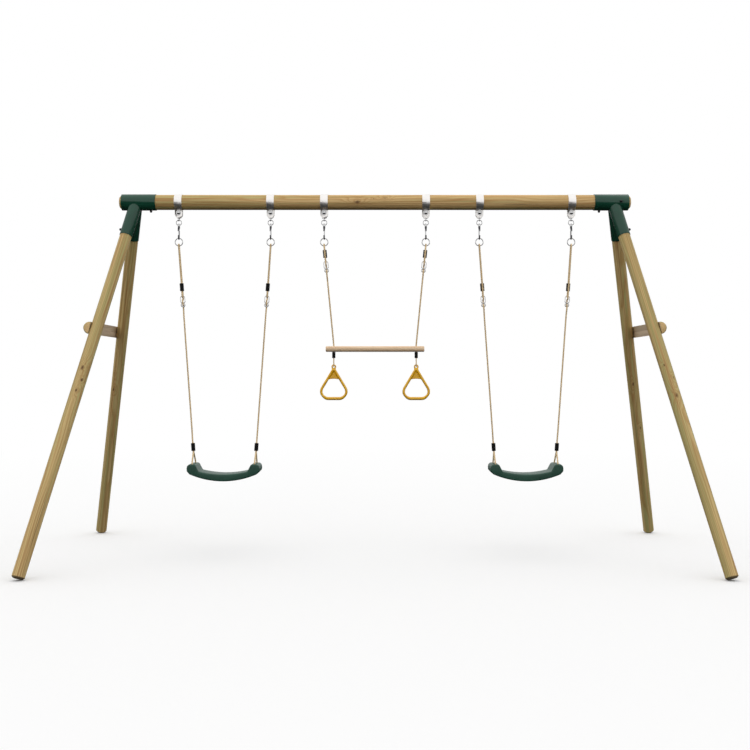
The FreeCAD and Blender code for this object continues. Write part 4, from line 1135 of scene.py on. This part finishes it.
def hand_ring(name, low, high):
    """A triangular ring with a thick grip bar, a recessed web below its lug and moulded fillets."""
    x = (low.x + high.x) / 2
    bend = RING_CORNER_R - RING_SIDE_R
    grip_z = low.z + 9.5 * MM
    side_x = (high.x - low.x) / 2 - RING_CORNER_R + bend * math.cos(RING_SLOPE)
    side_z = low.z + RING_CORNER_R + bend * math.sin(RING_SLOPE)
    corner_x = side_x + (side_z - grip_z) * math.tan(RING_SLOPE)
    apex_z = side_z + side_x / math.tan(RING_SLOPE)
    corners = [Vector((x + corner_x, 0, grip_z)), Vector((x, 0, apex_z)), Vector((x - corner_x, 0, grip_z))]
    path = rounded_points(corners, [bend, 8 * MM, bend], 2 * MM, closed=True)
    tube = flat_ring("tube", path, RING_SIDE_R, RING_HALF_DEPTH, 2.2, 24)
    thicken_grip(tube, grip_z)
    web_x = (apex_z - RING_WEB_Z) * math.tan(RING_SLOPE)
    lower = [(x + web_x * t, RING_WEB_Z + 4 * MM - 5 * MM * t * t) for t in np.linspace(-1, 1, 15)]
    web = plate("web", lower + [(x + 3 * MM, apex_z), (x - 3 * MM, apex_z)], RING_WEB_HALF_DEPTH)
    circle = np.array([(x + RING_LUG_R * math.cos(a), 0, RING_LUG_Z + RING_LUG_R * math.sin(a))
                       for a in np.linspace(0, math.tau, 40, endpoint=False)])
    lug = flat_ring("lug", circle, 4.1 * MM, 5 * MM, 3.0, 16)
    foot_z = RING_LUG_Z - 29.5 * MM
    head_z = RING_LUG_Z - 9.5 * MM
    neck = plate("neck", [(x - 12 * MM, foot_z), (x + 12 * MM, foot_z), (x + 13 * MM, head_z),
                          (x - 13 * MM, head_z)], 5 * MM)
    ring = joined(name, [outward_normals(part) for part in (tube, web, lug, neck)])
    remesh = ring.modifiers.new("remesh", "REMESH")
    remesh.mode = "VOXEL"
    remesh.voxel_size = 1.1 * MM
    soften = ring.modifiers.new("soften", "SMOOTH")
    soften.factor = 0.5
    soften.iterations = 8
    applied(ring)
    ring.data.shade_smooth()
    return ring


def thicken_grip(tube, grip_z):
    """Makes the straight bottom bar a little fuller than the sloping sides."""
    for vertex in tube.data.vertices:
        share = max(0.0, 1 - abs(vertex.co.z - grip_z) / (24 * MM))
        vertex.co.z = grip_z + (vertex.co.z - grip_z) * (1 + 0.3 * share)


def plate(name, outline, half_depth):
    """A flat plate with an outline of (x, z) points."""
    count = len(outline)
    vertices = [(x, y, z) for y in (-half_depth, half_depth) for x, z in outline]
    return mesh_object(name, vertices, capped(ring_faces(2, count), 2, count))


def build_hand_rings():
    for side in (LEFT, RIGHT):
        node = f"hand_ring_{SIDE_NAMES[side]}"
        ring = hand_ring(f"{node}_moulded", *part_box(node))
        finish_piece(ring, node, YELLOW_PLASTIC, "yellow_plastic", node)


# ---- Metal parts ----------------------------------------------------------------------------------------

def islands(node):
    """The corner points of each separate solid of a CAD node."""
    shape = bmesh.new()
    shape.from_mesh(frame["nodes"][node].data)
    bmesh.ops.remove_doubles(shape, verts=shape.verts, dist=1e-6)
    left = set(shape.verts)
    groups = []
    while left:
        reached = [left.pop()]
        for vertex in reached:
            for edge in vertex.link_edges:
                other = edge.other_vert(vertex)
                if other in left:
                    left.remove(other)
                    reached.append(other)
        groups.append(np.array([tuple(vertex.co) for vertex in reached]))
    shape.free()
    return sorted(groups, key=lambda points: tuple(np.round(points.mean(axis=0), 5)))


def pin_axis(points):
    """The direction of a headed pin, from its tail to its wider end."""
    middle = (points.min(axis=0) + points.max(axis=0)) / 2
    _, axes = np.linalg.eigh(np.cov((points - points.mean(axis=0)).T))
    axis = axes[:, -1]
    along = (points - middle) @ axis
    spread = np.linalg.norm((points - middle) - along[:, None] * axis, axis=1)
    return -axis if spread[along > 0].max() < spread[along < 0].max() else axis


def headed_pins(name, node, shank_r, head):
    """Pins with a shank and a turned head; the head's profile runs down from its top."""
    pins = []
    for points in islands(node):
        axis = pin_axis(points)
        along = points @ axis
        rims = points[along > along.max() - head[-1][1] * 1.02]
        across = rims - np.outer(rims @ axis, axis)
        centre = (across.min(axis=0) + across.max(axis=0)) / 2
        top = Vector(centre + axis * along.max())
        tail = along.max() - along.min()
        ease = 0.25 * shank_r
        profile = [(radius, -height) for radius, height in head]
        profile += [(shank_r, -head[-1][1]), (shank_r, ease - tail), (shank_r - ease, -tail)]
        pins.append(lathe("pin", top, axis, list(reversed(profile)), 40, 40))
    return joined(name, pins)


def domed(radius, height, rim):
    """Radius and depth below the top of a domed head with a short straight rim."""
    steps = np.linspace(0.02, 1, 9) * math.pi / 2
    dome = [(radius * math.sin(a), (height - rim) * (1 - math.cos(a))) for a in steps]
    return dome + [(radius, height - 0.3 * rim), (radius - 0.4 * rim, height)]


def washer_rings(name, node):
    """Flat washers with eased edges, where the CAD ones are."""
    rings = []
    for points in islands(node):
        low = points.min(axis=0)
        high = points.max(axis=0)
        middle = (low + high) / 2
        radius = (high[0] - low[0]) / 2
        half = (high[1] - low[1]) / 2
        hole = np.linalg.norm((points - middle)[:, [0, 2]], axis=1).min()
        ease = 0.35 * half
        profile = [(hole, -half + ease), (hole + ease, -half), (radius - ease, -half), (radius, -half + ease),
                   (radius, half - ease), (radius - ease, half), (hole + ease, half), (hole, half - ease)]
        rings.append(lathe("washer", middle, (0, 1, 0), profile, 48, 30, hollow=True))
    return joined(name, rings)


def build_metal():
    pieces = [
        (headed_pins("cap_screws", "bracket_screws", 3 * MM, domed(7.5 * MM, 13 * MM, 5 * MM)),
         BLACK_COAT, "black_steel", "bracket_screws"),
        (headed_pins("domed_cross_bolts", "clamp_bolts", 4 * MM, domed(11 * MM, 6 * MM, 1.5 * MM)),
         ZINC_STEEL, "zinc_steel", "clamp_bolts"),
        (headed_pins("coach_bolts", "brace_bolts", 4 * MM, domed(10 * MM, 6 * MM, 1.5 * MM)),
         ZINC_STEEL, "zinc_steel", "brace_bolts"),
        (washer_rings("eased_washers", "clamp_washers"), ZINC_STEEL, "zinc_steel", "clamp_washers"),
        (refined("chamfered_nuts", "clamp_nuts", 0.5 * MM), ZINC_STEEL, "zinc_steel", "clamp_nuts"),
    ]
    for side in SIDE_NAMES.values():
        node = f"corner_bracket_{side}"
        pieces.append((refined(f"sleeve_bracket_{side}", node, 0.5 * MM), GREEN_COAT, "green_steel", node))
    for number in range(1, 7):
        node = f"beam_clamp_{number}"
        pieces.append((refined(f"strap_clamp_{number}", node, 0.6 * MM), STRAP_STEEL, "galvanised_strap", node))
    for piece, material, slot, node in pieces:
        finish_piece(piece, "frame", material, slot, node)
    for node in frame["nodes"]:
        if "_hook_" in node:
            paint_node(node, HOOK_STEEL)
        elif "_gate_" in node or node == "twisted_links" or node.endswith(("swivel_eyes", "hanging_rings")):
            paint_node(node, ZINC_STEEL)


# ---- Stage, light and camera ----------------------------------------------------------------------------

def build_floor():
    """A pale floor that takes a faint shadow near the object and glows white further out."""
    reach = 40.0
    corners = [(-reach, -reach, 0), (reach, -reach, 0), (reach, reach, 0), (-reach, reach, 0)]
    floor = mesh_object("floor", corners, [(0, 1, 2, 3)])
    shader = Shader("pale_floor")
    glow = shader.value("ShaderNodeEmission", {"Color": (1, 1, 1, 1), "Strength": 1.0})
    matt = shader.value("ShaderNodeBsdfDiffuse", {"Color": (0.985, 0.985, 0.985, 1)})
    distance = shader.vector("LENGTH", shader.place())
    far = shader.value("ShaderNodeMapRange", {0: distance, 1: 2.5, 2: 9.0})
    both = shader.value("ShaderNodeMixShader", {0: far, 1: matt, 2: glow})
    shader.feed(shader.tree.nodes["Material Output"].inputs["Surface"], both)
    floor.data.materials.append(shader.material)
    floor.visible_diffuse = False
    floor.visible_glossy = False


def build_world():
    """White to the camera; to the object, bright above the horizon and nearly dark below it."""
    world = bpy.data.worlds.new("studio")
    bpy.context.scene.world = world
    world.use_nodes = True
    nodes = world.node_tree.nodes
    link = world.node_tree.links.new
    background = nodes["Background"]
    place = nodes.new("ShaderNodeTexCoord")
    split = nodes.new("ShaderNodeSeparateXYZ")
    link(place.outputs["Generated"], split.inputs[0])
    height = nodes.new("ShaderNodeMapRange")
    height.inputs["From Min"].default_value = -1.0
    link(split.outputs["Z"], height.inputs["Value"])
    sky = nodes.new("ShaderNodeValToRGB")
    set_stops(sky.color_ramp.elements, ((0.0, 0.02), (0.48, 0.035), (0.503, 0.98), (1.0, 1.0)))
    link(height.outputs[0], sky.inputs[0])
    path = nodes.new("ShaderNodeLightPath")
    choose = nodes.new("ShaderNodeMix")
    choose.data_type = "RGBA"
    choose.inputs[7].default_value = (1, 1, 1, 1)
    link(path.outputs["Is Camera Ray"], choose.inputs[0])
    link(sky.outputs[0], choose.inputs[6])
    link(choose.outputs[2], background.inputs["Color"])


def build_camera():
    camera = bpy.data.cameras.new("camera")
    camera.lens = 50
    camera.sensor_width = 36
    holder = bpy.data.objects.new("camera", camera)
    holder.location = (0, -6.131, 1.0506)
    holder.rotation_euler = (math.pi / 2, 0, 0)
    bpy.context.scene.collection.objects.link(holder)
    bpy.context.scene.camera = holder
    bpy.context.scene.view_settings.view_transform = "Standard"


build_beam()
build_legs()
build_braces()
build_bar()
for swing, outer_strand_side in (("left_swing", BACK), ("right_swing", FRONT)):
    build_ropes(swing, outer_strand_side, swing_lower_end)
    build_seat(swing)
build_ropes("trapeze", FRONT, trapeze_lower_end)
build_ring_loops()
build_hand_rings()
build_metal()
build_floor()
build_world()
build_camera()
